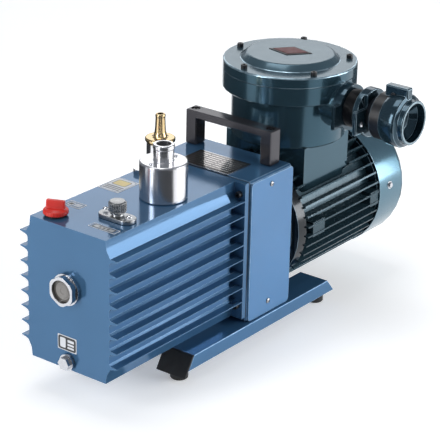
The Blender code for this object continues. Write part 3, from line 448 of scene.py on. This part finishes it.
def plate(bm, outline, low, high, matrix, index=0, ease=0.0):
    """Adds a flat plate with eased upper edges; outline is in the frame's own plane."""
    def ring(scale, height):
        return [bm.verts.new(matrix @ Vector((u * scale, v * scale, height))) for u, v in outline]

    reach = max(abs(u) for u, v in outline)
    rings = [ring(1.0, low), ring(1.0, high - ease)]
    if ease:
        rings.append(ring(1.0 - ease / reach, high))
    faces = [bm.faces.new(rings[0]), bm.faces.new(rings[-1])]
    for first, second in zip(rings, rings[1:]):
        for i in range(len(outline)):
            j = (i + 1) % len(outline)
            faces.append(bm.faces.new((first[i], first[j], second[j], second[i])))
    for face in faces:
        face.material_index = index


def facing(centre, right, up):
    """A frame at centre with u to the right, v upwards and its third axis out of the surface."""
    right, up = Vector(right).normalized(), Vector(up).normalized()
    out = right.cross(up)
    turn = Matrix((right, up, out)).transposed().to_4x4()
    return Matrix.Translation(centre) @ turn


# A label lies this far off its surface, is this thick, and each printed layer adds this much.
LABEL_GAP, LABEL_THICK, PRINT_THICK = 0.00004, 0.0003, 0.00003


def label(name, matrix, half_u, half_v, corner, bars, materials):
    """A plate with printed shapes on it; a bar is (u, v, half u, half v, material index)."""
    bm = bmesh.new()
    outline = rounded_outline(half_u, half_v, corner)
    plate(bm, outline, LABEL_GAP, LABEL_THICK, matrix, 0, LABEL_THICK * 0.3)
    for layer, (u, v, bar_u, bar_v, index) in enumerate(bars):
        spot = matrix @ Matrix.Translation((u, v, PRINT_THICK * layer))
        outline = rounded_outline(bar_u, bar_v, min(bar_u, bar_v) * 0.3, 2)
        plate(bm, outline, LABEL_THICK, LABEL_THICK + PRINT_THICK, spot, index)
    show(finish_mesh(bm, name, materials), "frame", "steel")


def socket_rings(radius, height, hole, depth):
    """The profile of a round head with straight sides and a hexagon socket."""
    return [
        (0.0, 0.0), (radius * 0.94, 0.0), (radius, radius * 0.06), (radius, height - radius * 0.12),
        (radius * 0.96, height - radius * 0.04), (radius * 0.88, height), (hole * 1.12, height),
        (hole * 0.96, height - 0.0001, "hex"), (hole * 0.96, height - depth, "hex"),
        (0.0, height - depth * 1.15),
    ]


def button_rings(radius, height, hole, depth):
    """The profile of a domed head with a hexagon socket."""
    turns = (0.0, 0.3, 0.6, 0.9, 1.15)
    dome = [(radius * math.cos(a), height * (0.25 + 0.75 * math.sin(a))) for a in turns]
    return [
        (0.0, 0.0), (radius * 0.97, 0.0), *dome, (hole * 0.96, height * 0.97, "hex"),
        (hole * 0.96, height * 0.97 - depth, "hex"), (0.0, height * 0.9 - depth),
    ]


def bolt_head_rings(half_width, height, washer_radius, washer):
    """The profile of a hexagon head over its washer."""
    top = washer + height
    return [
        (0.0, 0.0), (washer_radius, 0.0), (washer_radius, washer * 0.8), (washer_radius * 0.96, washer),
        (half_width * 0.98, washer), (half_width, washer + 0.0002, "hex"),
        (half_width, washer + height * 0.82, "hex"), (half_width * 0.93, top), (0.0, top),
    ]


# Head radius, head height, half the socket's width and the socket's depth.
BOX_BOLT = socket_rings(0.0043, 0.0060, 0.0020, 0.0026)
COVER_BOLT = socket_rings(0.0043, 0.0052, 0.0020, 0.0026)
HANDLE_SCREW = socket_rings(0.0040, 0.0030, 0.0019, 0.0020)
LUG_SCREW = socket_rings(0.0036, 0.0012, 0.0018, 0.0008)
SIDE_SCREW = button_rings(0.0036, 0.0021, 0.0013, 0.0012)
FLANGE_SCREW = button_rings(0.0036, 0.0024, 0.0014, 0.0012)
TRAP_SCREW = button_rings(0.0026, 0.0015, 0.0011, 0.0008)
# Half the head's width, its height, the washer's radius and the washer's thickness.
COWL_SCREW = bolt_head_rings(0.0034, 0.0024, 0.0056, 0.0008)


def screws(name, places, axis, rings, material):
    """Several alike screws as one object, each turned differently."""
    count, first_turn, smooth = 36, 0.3, 35.0
    bm = bmesh.new()
    for i, place in enumerate(places):
        lathe(bm, rings, count, turn_matrix(place, axis, first_turn + i))
    show(finish_mesh(bm, name, material, smooth), "frame", "steel")


def ring_surface(bm, rings, count):
    """A closed turned shape whose profile is a loop that stays off the axis."""
    loops = []
    for radius, height, *_ in rings:
        turns = [2 * math.pi * i / count for i in range(count)]
        loops.append([bm.verts.new((radius * math.cos(a), radius * math.sin(a), height)) for a in turns])
    for k, loop in enumerate(loops):
        following = loops[(k + 1) % len(loops)]
        for i in range(count):
            j = (i + 1) % count
            bm.faces.new((loop[i], loop[j], following[j], following[i]))


def carve(piece, cutter):
    """Cuts the cutter out of the piece for good."""
    boolean = piece.modifiers.new("carve", "BOOLEAN")
    boolean.operation = "DIFFERENCE"
    boolean.solver = "EXACT"
    boolean.object = cutter
    piece.modifiers.move(len(piece.modifiers) - 1, 0)
    graph = bpy.context.evaluated_depsgraph_get()
    weighted = piece.modifiers["flat_faces"]
    weighted.show_viewport = False
    graph.update()
    made = bpy.data.meshes.new_from_object(piece.evaluated_get(graph))
    piece.modifiers.remove(boolean)
    weighted.show_viewport = True
    piece.data = made
    bpy.data.objects.remove(cutter)


# ---------------------------------------------------------------- pump


def oil_box_and_bracket():
    """The painted castings, plates and rails of the pump end, with their rubber and their screws."""
    refine("oil_box", BLUE, "blue_paint", width=0.0009)
    refine("bracket", BLUE, "blue_paint", width=0.0010)
    for side in ("right", "left"):
        refine("side_plate_" + side, BLUE_SHEET, "blue_paint", width=0.0005)
        refine("rail_" + side, BLUE_RAIL, "blue_paint", width=0.0012, segments=3)
        refine("rail_cap_" + side, RUBBER, "rubber", width=0.0008)
        for end in ("front", "rear"):
            refine("foot_" + end + "_" + side, RUBBER, "rubber", width=0.0006)
    bolt_x, bolt_y, bolt_z = 0.0690, 0.2499, (0.0640, 0.2200)
    places = [at(x, bolt_y, z) for x in (-bolt_x, bolt_x) for z in bolt_z]
    screws("box_bolts", places, (0, -1, 0), BOX_BOLT, SOCKET_BLACK)
    screw_y, screw_z = 0.3028, (0.0555, 0.2213)
    for side, sign in (("right", 1), ("left", -1)):
        outer = max(abs(corner.x - SHAFT_X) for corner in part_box("side_plate_" + side))
        places = [at(sign * outer, screw_y, z) for z in screw_z]
        screws("side_plate_screws_" + side, places, (sign, 0, 0), SIDE_SCREW, SATIN_PLATE)


def handle():
    """The carrying handle with a counterbored screw in each end of its bar."""
    middle, low, high = middle_of("handle")
    inset, bore, depth = 0.0088, 0.0048, 0.0040
    chamfer, under, clear = 0.0007, 0.0006, 0.002
    places = [Vector((x, middle.y, high.z)) for x in (low.x + inset, high.x - inset)]
    bm = node_mesh("handle")
    bevel(bm, width=0.0009, segments=3)
    # The bevelled faces get the lighter finish as a painted highlight along the edges.
    edge = bm.faces.layers.float["edge"]
    for face in bm.faces:
        face.material_index = 1 if face[edge] > 0.5 else 0
    piece = finish_mesh(bm, "handle_finished", (HANDLE_BLACK, HANDLE_EDGE_HIGHLIGHT))
    cutter_mesh = bmesh.new()
    rings = [
        (0.0, -depth), (bore, -depth), (bore, -under), (bore + chamfer, 0.0002), (bore + chamfer, clear),
        (0.0, clear),
    ]
    for place in places:
        lathe(cutter_mesh, rings, 40, Matrix.Translation(place))
    carve(piece, finish_mesh(cutter_mesh, "handle_cutter", SOCKET_BLACK))
    show(piece, "frame", "black_plastic", "handle")
    below = [place - Vector((0, 0, depth)) for place in places]
    screws("handle_screws", below, (0, 0, 1), HANDLE_SCREW, SOCKET_BLACK)


def data_plate():
    """The glossy black plate behind the ports, with a silver border and plain ruled lines."""
    middle, low, high = middle_of("data_plate")
    half_x, half_y = (high.x - low.x) / 2, (high.y - low.y) / 2
    border, line_half, rows = 0.0016, 0.00070, 7
    columns = ((-0.90, -0.46), (-0.40, 0.10), (0.16, 0.90))
    spot = Matrix.Translation(Vector((middle.x, middle.y, low.z)))
    bm = bmesh.new()
    thick = high.z - low.z
    film = 0.00004
    outer = rounded_outline(half_x, half_y, corner=0.0010)
    plate(bm, outer, 0.0, thick - 3 * film, spot, 0, ease=0.0003)
    inner = rounded_outline(half_x - border, half_y - border, corner=0.0006)
    plate(bm, inner, thick - 3 * film, thick - 2 * film, spot, 1)
    pitch = 2 * (half_y - border) / (rows + 1)
    for row in range(rows):
        for start, end in columns:
            centre, half = (start + end) / 2 * half_x, (end - start) / 2 * half_x
            line = spot @ Matrix.Translation((centre, (row - (rows - 1) / 2) * pitch, 0.0))
            bar = rounded_outline(half, line_half, line_half * 0.4, 2)
            plate(bm, bar, thick - 2 * film, thick - film, line, 2)
    piece = finish_mesh(bm, "data_plate_finished", (PLATE_BORDER, PLATE_BLACK, PLATE_LINES))
    show(piece, "frame", "steel", "data_plate")


def filler():
    """A ribbed screw cap with a tapered wing grip."""
    centre, low, high = middle_of("filler_cap")
    base_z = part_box("filler_seal")[1].z + 0.0003
    disc_z, radius = base_z + 0.0062, (high.x - low.x) / 2
    plug_radius, plug_z = 0.0098, base_z - 0.0090
    ribs, rib_height = 30, 0.00022
    bm = bmesh.new()
    rings = eased([
        (0.0, plug_z), (plug_radius, plug_z), (plug_radius, base_z), (radius - 0.0006, base_z),
        (radius, base_z + 0.0010, "wave"), (radius - 0.0003, disc_z - 0.0014, "wave"),
        (radius - 0.0022, disc_z), (radius * 0.62, disc_z + 0.0012), (0.0, disc_z + 0.0014),
    ], radius=0.0005)
    lathe(bm, rings, 120, wave=lambda angle: rib_height * math.cos(ribs * angle))
    cap = finish_mesh(bm, "filler_cap_disc", RED, smooth=50.0)
    cap.location = centre
    show(cap, "filler_cap", "red_plastic", "filler_cap")
    wing = bmesh.new()
    half_length, half_thick, top = 0.0125, 0.0034, high.z
    grip_angle = math.radians(24)
    # Each slice of the grip: its height, and its length and thickness as shares of the grip's.
    slices = (
        (disc_z, 1.00, 1.55), (disc_z + 0.0012, 0.97, 1.15), (disc_z + 0.0035, 0.96, 0.95),
        (top - 0.0014, 0.93, 0.82), (top - 0.0004, 0.90, 0.70), (top, 0.86, 0.50),
    )
    loops = []
    for height, long, thick in slices:
        outline = rounded_outline(half_length * long, half_thick * thick, half_thick * thick * 0.6, 4)
        loops.append([wing.verts.new((u, v, height)) for u, v in outline])
    for first, second in zip(loops, loops[1:]):
        for i in range(len(first)):
            j = (i + 1) % len(first)
            wing.faces.new((first[i], first[j], second[j], second[i]))
    wing.faces.new(loops[0])
    wing.faces.new(loops[-1])
    grip = finish_mesh(wing, "filler_cap_grip", RED, smooth=50.0)
    grip.matrix_world = Matrix.Translation(centre) @ Matrix.Rotation(grip_angle, 4, "Z")
    show(grip, "filler_cap", "red_plastic")


def ballast():
    """The gas ballast's flange, two screws and fluted knob."""
    refine("ballast_flange", SATIN_PLATE, "polished_metal", width=0.0009)
    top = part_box("ballast_flange")[1].z
    places = [at(0.0082, 0.0604, top), at(0.0476, 0.0575, top)]
    screws("ballast_flange_screws", places, (0, 0, 1), FLANGE_SCREW, CHROME)
    centre, low, high = middle_of("ballast_knob")
    radius, foot = (high.x - low.x) / 2, top + 0.0004
    waist, side = radius * 0.80, radius - 0.00045
    flutes, flute_depth, flute_inset = 24, 0.0007, 0.0004
    rings = [
        (0.0, foot), (waist, foot), (waist, foot + 0.0018), (radius - 0.0004, foot + 0.0024),
        (side, foot + 0.0030, "wave"), (side, high.z - 0.0024, "wave"), (radius - 0.0005, high.z - 0.0019),
        (radius - 0.0020, high.z - 0.0003), (radius - 0.0024, high.z), (0.0, high.z),
    ]
    turned_piece("ballast_knob_finished", rings, centre, KNOB, "polished_metal", "ballast_knob", count=168,
                 wave=lambda angle: flute_depth * math.cos(flutes * angle) - flute_inset,
                 replaced=("ballast_knob",), smooth=50.0)


def exhaust():
    """The turned exhaust trap with its open neck and two lid screws."""
    centre, low, high = middle_of("exhaust_trap")
    outer, bore, neck, collar, foot = (high.x - low.x) / 2, 0.0095, 0.0129, 0.0136, 0.0180
    lid, rim, seat = 0.2840, high.z, low.z
    groove = outer - 0.0003
    rings = eased([
        (bore, rim), (0.0126, rim), (collar, rim - 0.0010), (collar, rim - 0.0052), (neck, rim - 0.0060),
        (neck, lid + 0.0006), (collar, lid), (outer - 0.0014, lid), (outer, lid - 0.0012),
        (outer, lid - 0.0018), (groove, lid - 0.0020), (groove, lid - 0.0024), (outer, lid - 0.0026),
        (outer, seat + 0.0010), (outer - 0.0010, seat), (foot, seat), (foot, 0.2765), (bore, 0.2790),
        (bore, rim),
    ], radius=0.0004)
    bm = bmesh.new()
    ring_surface(bm, rings[:-1], 128)
    piece = finish_mesh(bm, "exhaust_trap_finished", TURNED)
    piece.location = centre
    show(piece, "frame", "polished_metal", "exhaust_trap")
    places = [at(0.0226, 0.1282, lid), at(0.0280, 0.1702, lid)]
    screws("exhaust_trap_screws", places, (0, 0, 1), TRAP_SCREW, CHROME)


def inlet():
    """The inlet flange and the brass hose barb on it."""
    refine("inlet_flange", POLISHED, "polished_metal", width=0.0005)
    centre, low, high = middle_of("hose_barb")
    outer, top = (high.x - low.x) / 2, high.z
    bore, tip = 0.0040, 0.0066
    rings = eased([
        (bore, top), (0.0058, top), (tip, top - 0.0012), (tip, top - 0.0030), (0.0062, top - 0.0045),
        (0.0069, top - 0.0190), (0.0074, top - 0.0240), (0.0086, top - 0.0296), (0.0110, top - 0.0308),
        (outer - 0.0014, top - 0.0309), (outer, top - 0.0322), (outer, top - 0.0352),
        (outer - 0.0010, top - 0.0364), (outer - 0.0020, top - 0.0370), (0.0170, low.z + 0.0003),
        (0.0100, low.z), (bore, low.z),
    ], radius=0.0006)
    bm = bmesh.new()
    ring_surface(bm, rings, 96)
    piece = finish_mesh(bm, "hose_barb_finished", BRASS)
    piece.location = centre
    show(piece, "frame", "brass", "hose_barb")


def front_fittings():
    """The sight glass nut, the grey disc seen in its glass, and the drain plug."""
    refine("sight_glass_nut", CHROME_PLATE, "polished_metal", width=0.0006)
    refine("drain_plug", CHROME_PLATE, "polished_metal", width=0.0004, body="drain_plug")
    low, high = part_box("sight_glass_lens")
    centre = (low + high) / 2
    edge, back = 0.0110, -0.0006
    rings = [
        (0.0, 0.0), (0.0035, 0.0), (0.0040, 0.0005), (0.0090, 0.0006), (0.0095, 0.0), (edge, 0.0),
        (edge, back), (0.0, back),
    ]
    place = Vector((centre.x, low.y - 0.0002, centre.z))
    turned_piece("sight_glass_target", rings, place, OIL_TARGET, "polished_metal", axis=(0, -1, 0), count=48)


def labels():
    """Plain plates and stickers with simple shapes and no lettering."""
    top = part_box("oil_box")[1].z
    across, along, upwards = (1, 0, 0), (0, 1, 0), (0, 0, 1)
    front = facing(at(-0.0020, 0.0, 0.0810), across, upwards)
    label("front_sticker", front, 0.0152, 0.0100, 0.0012, (
        (0.0, 0.0, 0.0142, 0.0090, 1), (-0.0068, 0.0, 0.0045, 0.0066, 0), (0.0060, 0.0040, 0.0052, 0.0018, 0),
        (0.0060, -0.0008, 0.0052, 0.0013, 0), (0.0060, -0.0050, 0.0052, 0.0013, 0),
    ), (STICKER, INK))
    ballast_plate = facing(at(0.0345, 0.0270, top), across, along)
    label("ballast_plate", ballast_plate, 0.0205, 0.0062, 0.0012, (
        (0.0, 0.0, 0.0198, 0.0055, 1), (0.0, 0.0, 0.0165, 0.0043, 2), (0.0, 0.0, 0.0150, 0.0030, 3),
        (-0.0060, 0.0, 0.0018, 0.0016, 2), (0.0, 0.0, 0.0018, 0.0016, 2), (0.0060, 0.0, 0.0018, 0.0016, 2),
    ), (STICKER, BLUE_PRINT, INK, SILVER))
    filler_tag = facing(at(-0.0410, 0.0600, top), across, along)
    label("filler_sticker", filler_tag, 0.0130, 0.0080, 0.0012, (
        (0.0, 0.0, 0.0120, 0.0070, 1), (-0.0055, 0.0, 0.0038, 0.0044, 0), (-0.0055, 0.0, 0.0026, 0.0030, 2),
        (0.0050, 0.0026, 0.0048, 0.0009, 0), (0.0050, 0.0, 0.0048, 0.0009, 0),
        (0.0050, -0.0026, 0.0048, 0.0009, 0),
    ), (STICKER, BLUE_PRINT, INK))
    notice = facing(at(-0.0430, 0.1440, top), across, along)
    label("notice_sticker", notice, 0.0170, 0.0210, 0.0008, (
        (0.0, 0.0, 0.0160, 0.0200, 1), (0.0, 0.0, 0.0150, 0.0190, 0), (0.0, -0.0152, 0.0135, 0.0014, 2),
        (0.0, -0.0108, 0.0135, 0.0014, 2), (0.0, -0.0064, 0.0135, 0.0014, 2),
        (0.0, 0.0070, 0.0110, 0.0085, 2), (0.0, 0.0070, 0.0098, 0.0073, 3),
    ), (STICKER, BLUE_PRINT, GREY_INK, YELLOW_INK))


oil_box_and_bracket()
handle()
data_plate()
filler()
ballast()
exhaust()
inlet()
front_fittings()
labels()

# ---------------------------------------------------------------- motor

TERMINAL_Y, GLAND_Z = 0.4490, 0.2920


def motor_body():
    """The motor's castings and its fan cowl, with four screws round the cowl."""
    refine("motor_front_shield", TEAL_SHIELD, "motor_paint", width=0.0004)
    # The housing takes the darker motor paint as painted shade.
    refine("motor_housing", TEAL_FINS_SHADED, "motor_paint", width=0.0005)
    refine("motor_rear_shield", TEAL, "motor_paint", width=0.0005)
    refine("fan_cowl", TEAL_COWL, "motor_paint", width=0.0003)
    cowl_radius = max(abs(corner.x - SHAFT_X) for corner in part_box("fan_cowl"))
    screw_y, sunk, screw_angles = 0.5755, 0.0008, (6, 96, 162, 264)
    for i, degrees in enumerate(screw_angles):
        angle = math.radians(degrees)
        out = Vector((math.cos(angle), 0.0, math.sin(angle)))
        place = at(0.0, screw_y, SHAFT_Z) + out * (cowl_radius - sunk)
        screws(f"cowl_screw_{i + 1}", [place], out, COWL_SCREW, CHROME)


def paint_lit_upward_faces(bm):
    """The faces that look up get a lighter copy of the motor paint, a painted highlight where their tops
    catch the light.
    """
    least_up = 0.6
    bm.normal_update()
    for face in bm.faces:
        face.material_index = 1 if face.normal.z > least_up else 0


def terminal_housing():
    """The terminal box, and its cover with five bolts and a plain diamond badge."""
    refine("terminal_box", TEAL, "motor_paint", width=0.0008, segments=3)
    # The cover's upward faces get the lighter paint as a painted highlight.
    refine("terminal_cover", (TEAL, TEAL_LIT_TOP), "motor_paint", width=0.0012, segments=3,
           first=paint_lit_upward_faces)
    circle, seat, bolts, first_bolt = 0.0800, 0.3387, 5, 40
    places = []
    for i in range(bolts):
        angle = math.radians(first_bolt + i * 360 / bolts)
        places.append(at(circle * math.cos(angle), TERMINAL_Y + circle * math.sin(angle), seat))
    screws("cover_bolts", places, (0, 0, 1), COVER_BOLT, SOCKET_BLACK)
    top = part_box("terminal_cover")[1].z
    half_u, half_v, slant, inner_share = 0.0300, 0.0190, 0.35, 0.80
    spot = facing(at(0.0, TERMINAL_Y, top), (1, slant, 0), (-slant, 1, 0))
    bm = bmesh.new()
    diamond = [(half_u, 0.0), (0.0, half_v), (-half_u, 0.0), (0.0, -half_v)]
    inner = [(u * inner_share, v * inner_share) for u, v in diamond]
    plate(bm, diamond, LABEL_GAP, 0.0008, spot, 0, ease=0.0003)
    plate(bm, inner, 0.00085, 0.0013, spot, 1, ease=0.0002)
    show(finish_mesh(bm, "cover_badge", (INK, DULL_RED)), "frame", "black_plastic")


def mark_bell_neck_and_lit_mouth(bm):
    """The bell's neck is drawn black, and the face round its mouth gets a lighter paint, a painted highlight.
    """
    neck_end, mouth = SHAFT_X + 0.1640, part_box("gland_bell")[1].x
    neck_reach, slack, least_out = 0.0335, 0.0005, 0.9
    bm.normal_update()
    for face in bm.faces:
        middle = face.calc_center_median()
        reach = math.hypot(middle.y - FRONT_Y - TERMINAL_Y, middle.z - GLAND_Z)
        # The mouth's face takes the lighter paint as a painted highlight.
        if middle.x > mouth - slack and face.normal.x > least_out:
            face.material_index = 2
        elif middle.x < neck_end and reach < neck_reach:
            face.material_index = 1


def gland():
    """The cable gland: its castings, the thread between them, and its screws."""
    refine("gland_entry", TEAL_DARK, "motor_paint", width=0.0006)
    refine("gland_clamp", TEAL_DARK, "motor_paint", width=0.0007)
    refine("gland_bell", (TEAL_DARK, SOCKET_BLACK, TEAL_MOUTH_HIGHLIGHT), "motor_paint", width=0.0006, first=mark_bell_neck_and_lit_mouth)
    # The thread is drawn in near-black steel, painted shade for the shaded gap between the castings.
    thread = bmesh.new()
    turns, pitch, start_x, root, crest = 9, 0.0020, 0.1040, 0.0243, 0.0258
    turn = turn_matrix(at(0.0, TERMINAL_Y, GLAND_Z), (1, 0, 0))
    for i in range(turns):
        low = start_x + pitch * i
        middle = low + pitch / 2
        rings = [
            (root, low + 0.0001), (crest, middle - 0.0002), (crest, middle + 0.0002),
            (root, low + pitch - 0.0001),
        ]
        ring_surface(thread, rings, 96)
    bmesh.ops.transform(thread, matrix=turn, verts=thread.verts)
    show(finish_mesh(thread, "gland_thread", SOCKET_BLACK), "frame", "steel")
    ear_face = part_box("gland_clamp")[1].x
    bolt = Vector((ear_face, FRONT_Y + TERMINAL_Y - 0.0300, GLAND_Z - 0.0080))
    screws("clamp_bolts", [bolt], (1, 0, 0), FLANGE_SCREW, CHROME)
    lug_face = at(0.1690, TERMINAL_Y - 0.0062, GLAND_Z + 0.0330)
    screws("bell_lug_screw", [lug_face], (0, -1, 0), LUG_SCREW, SOCKET_BLACK)


motor_body()
terminal_housing()
gland()

# ---------------------------------------------------------------- carried-over CAD nodes

# The inner pieces, the seals, the drain washer and the sight glass keep their CAD shape and only
# get a material.
CARRIED = (
    (RUBBER, ("box_gasket", "filler_seal", "shaft_seal")),
    (COPPER, ("drain_washer",)),
    (GLASS, ("sight_glass_lens",)),
    (STEEL, ("mid_plate", "pump_back_plate", "front_rotor", "rear_rotor", "exhaust_valve",
             "coupling_hub_pump", "coupling_hub_motor", "motor_shaft", "rotor_core", "front_bearing",
             "rear_bearing")),
    (IRON, ("pump_end_cover", "front_stator", "rear_stator", "stator_core")),
    (BLACK, ("coupling_fan", "motor_fan")),
    (SPIDER, ("coupling_spider",)),
    (FIBRE, ("front_vane_a", "front_vane_b", "rear_vane_a", "rear_vane_b")),
    (RESIN, ("terminal_block",)),
)
for material, names in CARRIED:
    for name in names:
        slots = nodes[name].material_slots
        if not slots:
            nodes[name].data.materials.append(material)
        for slot in slots:
            slot.material = material

# ---------------------------------------------------------------- floor, light and camera

CAMERA_AZIMUTH, CAMERA_ELEVATION = math.radians(37.006), math.radians(22.713)
CAMERA_ROLL = math.radians(1.369)
CAMERA_PLACE = at(1.37071, -1.51776, 1.10253)
CAMERA_LENS, SENSOR = 152.58, 36.0
SKY_COLOR, SKY_STRENGTH = (0.80, 0.86, 0.95, 1.0), 0.28


def studio_piece(bm, name, shader):
    """An object that isn't part of the machine, such as the floor."""
    piece = finish_mesh(bm, name, shader.mat)
    piece.modifiers.clear()
    return piece


def floor():
    """A pale paper floor."""
    bm = bmesh.new()
    bmesh.ops.create_grid(bm, x_segments=4, y_segments=4, size=30.0)
    paper = Shader("studio_paper", (0.94, 0.94, 0.94), 0.75)
    paper.mottle(paper.coords(), 3.0, 0.004)
    paper.set(Emission_Color=WHITE, Emission_Strength=0.32, Specular_IOR_Level=0.1)
    studio_piece(bm, "studio_floor", paper)


def backdrop():
    """A tall pale wall far round the machine, which only the camera sees."""
    bm = bmesh.new()
    reach, foot, top, count = 28.0, -0.5, 24.0, 64
    rings = []
    for height in (foot, top):
        turns = [2 * math.pi * i / count for i in range(count)]
        rings.append([bm.verts.new((reach * math.cos(a), reach * math.sin(a), height)) for a in turns])
    for i in range(count):
        j = (i + 1) % count
        bm.faces.new((rings[0][i], rings[0][j], rings[1][j], rings[1][i]))
    wall = Shader("studio_wall_paint", (0.9, 0.9, 0.9), 0.8)
    wall.mottle(wall.coords(), 1.0, 0.004)
    wall.set(Emission_Color=WHITE, Emission_Strength=0.9)
    piece = studio_piece(bm, "studio_wall", wall)
    piece.visible_diffuse = False
    piece.visible_glossy = False
    piece.visible_shadow = False


def flag(name, near, left, right):
    """A dark card on the floor that only reflections see, so that bright metal has contrast.
    It starts near metres from the middle, and its sides are in degrees from the camera's side."""
    bm = bmesh.new()
    far, height, steps = 3.0, 0.004, 12
    rows = []
    for reach in (near, far):
        row = []
        for i in range(steps + 1):
            turn = CAMERA_AZIMUTH - math.pi / 2 + math.radians(left + (right - left) * i / steps)
            row.append(bm.verts.new((reach * math.cos(turn), reach * math.sin(turn), height)))
        rows.append(row)
    for i in range(steps):
        bm.faces.new((rows[0][i], rows[0][i + 1], rows[1][i + 1], rows[1][i]))
    cloth = Shader("dark_cloth", (0.03, 0.032, 0.036), 0.9)
    cloth.mottle(cloth.coords(), 30.0, 0.1)
    piece = studio_piece(bm, name, cloth)
    piece.visible_camera = False
    piece.visible_diffuse = False
    piece.visible_shadow = False


def softbox(name, place, width, height, power):
    """A rectangular light that faces the machine."""
    target = Vector((0.0, 0.0, 0.15))
    data = bpy.data.lights.new(name, "AREA")
    data.shape = "RECTANGLE"
    data.size, data.size_y = width, height
    data.energy = power
    lamp = bpy.data.objects.new(name, data)
    bpy.context.scene.collection.objects.link(lamp)
    lamp.location = place
    lamp.rotation_mode = "QUATERNION"
    lamp.rotation_quaternion = (target - place).to_track_quat("-Z", "Y")


def camera():
    """The camera, turned by its azimuth, elevation and roll."""
    back = Vector((
        math.sin(CAMERA_AZIMUTH) * math.cos(CAMERA_ELEVATION),
        -math.cos(CAMERA_AZIMUTH) * math.cos(CAMERA_ELEVATION),
        math.sin(CAMERA_ELEVATION),
    ))
    level = Vector((math.cos(CAMERA_AZIMUTH), math.sin(CAMERA_AZIMUTH), 0.0))
    over = back.cross(level)
    right = math.cos(CAMERA_ROLL) * level + math.sin(CAMERA_ROLL) * over
    up = -math.sin(CAMERA_ROLL) * level + math.cos(CAMERA_ROLL) * over
    data = bpy.data.cameras.new("camera")
    data.lens = CAMERA_LENS
    data.sensor_width = SENSOR
    view = bpy.data.objects.new("camera", data)
    bpy.context.scene.collection.objects.link(view)
    turn = Matrix((right, up, back)).transposed().to_4x4()
    view.matrix_world = Matrix.Translation(CAMERA_PLACE) @ turn
    bpy.context.scene.camera = view


def studio():
    """The floor, wall, flags and lights, placed from the camera's side of the machine."""
    floor()
    backdrop()
    side = Vector((math.cos(CAMERA_AZIMUTH), math.sin(CAMERA_AZIMUTH), 0.0))
    front = Vector((math.sin(CAMERA_AZIMUTH), -math.cos(CAMERA_AZIMUTH), 0.0))
    upwards = Vector((0.0, 0.0, 1.0))
    flag("front_flag", near=0.22, left=-40.0, right=36.0)
    flag("left_flag", near=0.30, left=-160.0, right=-84.0)
    flag("back_flag", near=0.50, left=135.0, right=175.0)
    softbox("right_softbox", side * 2.0 + front * 0.2 + upwards * 0.75, width=1.5, height=1.4, power=32.0)
    softbox("left_softbox", side * -1.5 + front * 1.1 + upwards * 0.8, width=0.55, height=1.3, power=18.0)
    turn, reach = math.radians(107.0), 2.2
    strip = front * reach * math.cos(turn) + side * reach * math.sin(turn) + upwards * 0.30
    softbox("side_strip", strip, width=0.35, height=0.7, power=6.0)
    softbox("top_softbox", front * -0.3 + side * -0.4 + upwards * 2.4, width=1.2, height=1.2, power=16.0)
    softbox("back_softbox", front * -2.6 + upwards * 1.4, width=3.0, height=1.0, power=14.0)
    world = bpy.data.worlds.new("studio")
    world.use_nodes = True
    background = world.node_tree.nodes["Background"]
    background.inputs["Color"].default_value = SKY_COLOR
    background.inputs["Strength"].default_value = SKY_STRENGTH
    bpy.context.scene.world = world
    bpy.context.scene.view_settings.view_transform = "Standard"


studio()
camera()
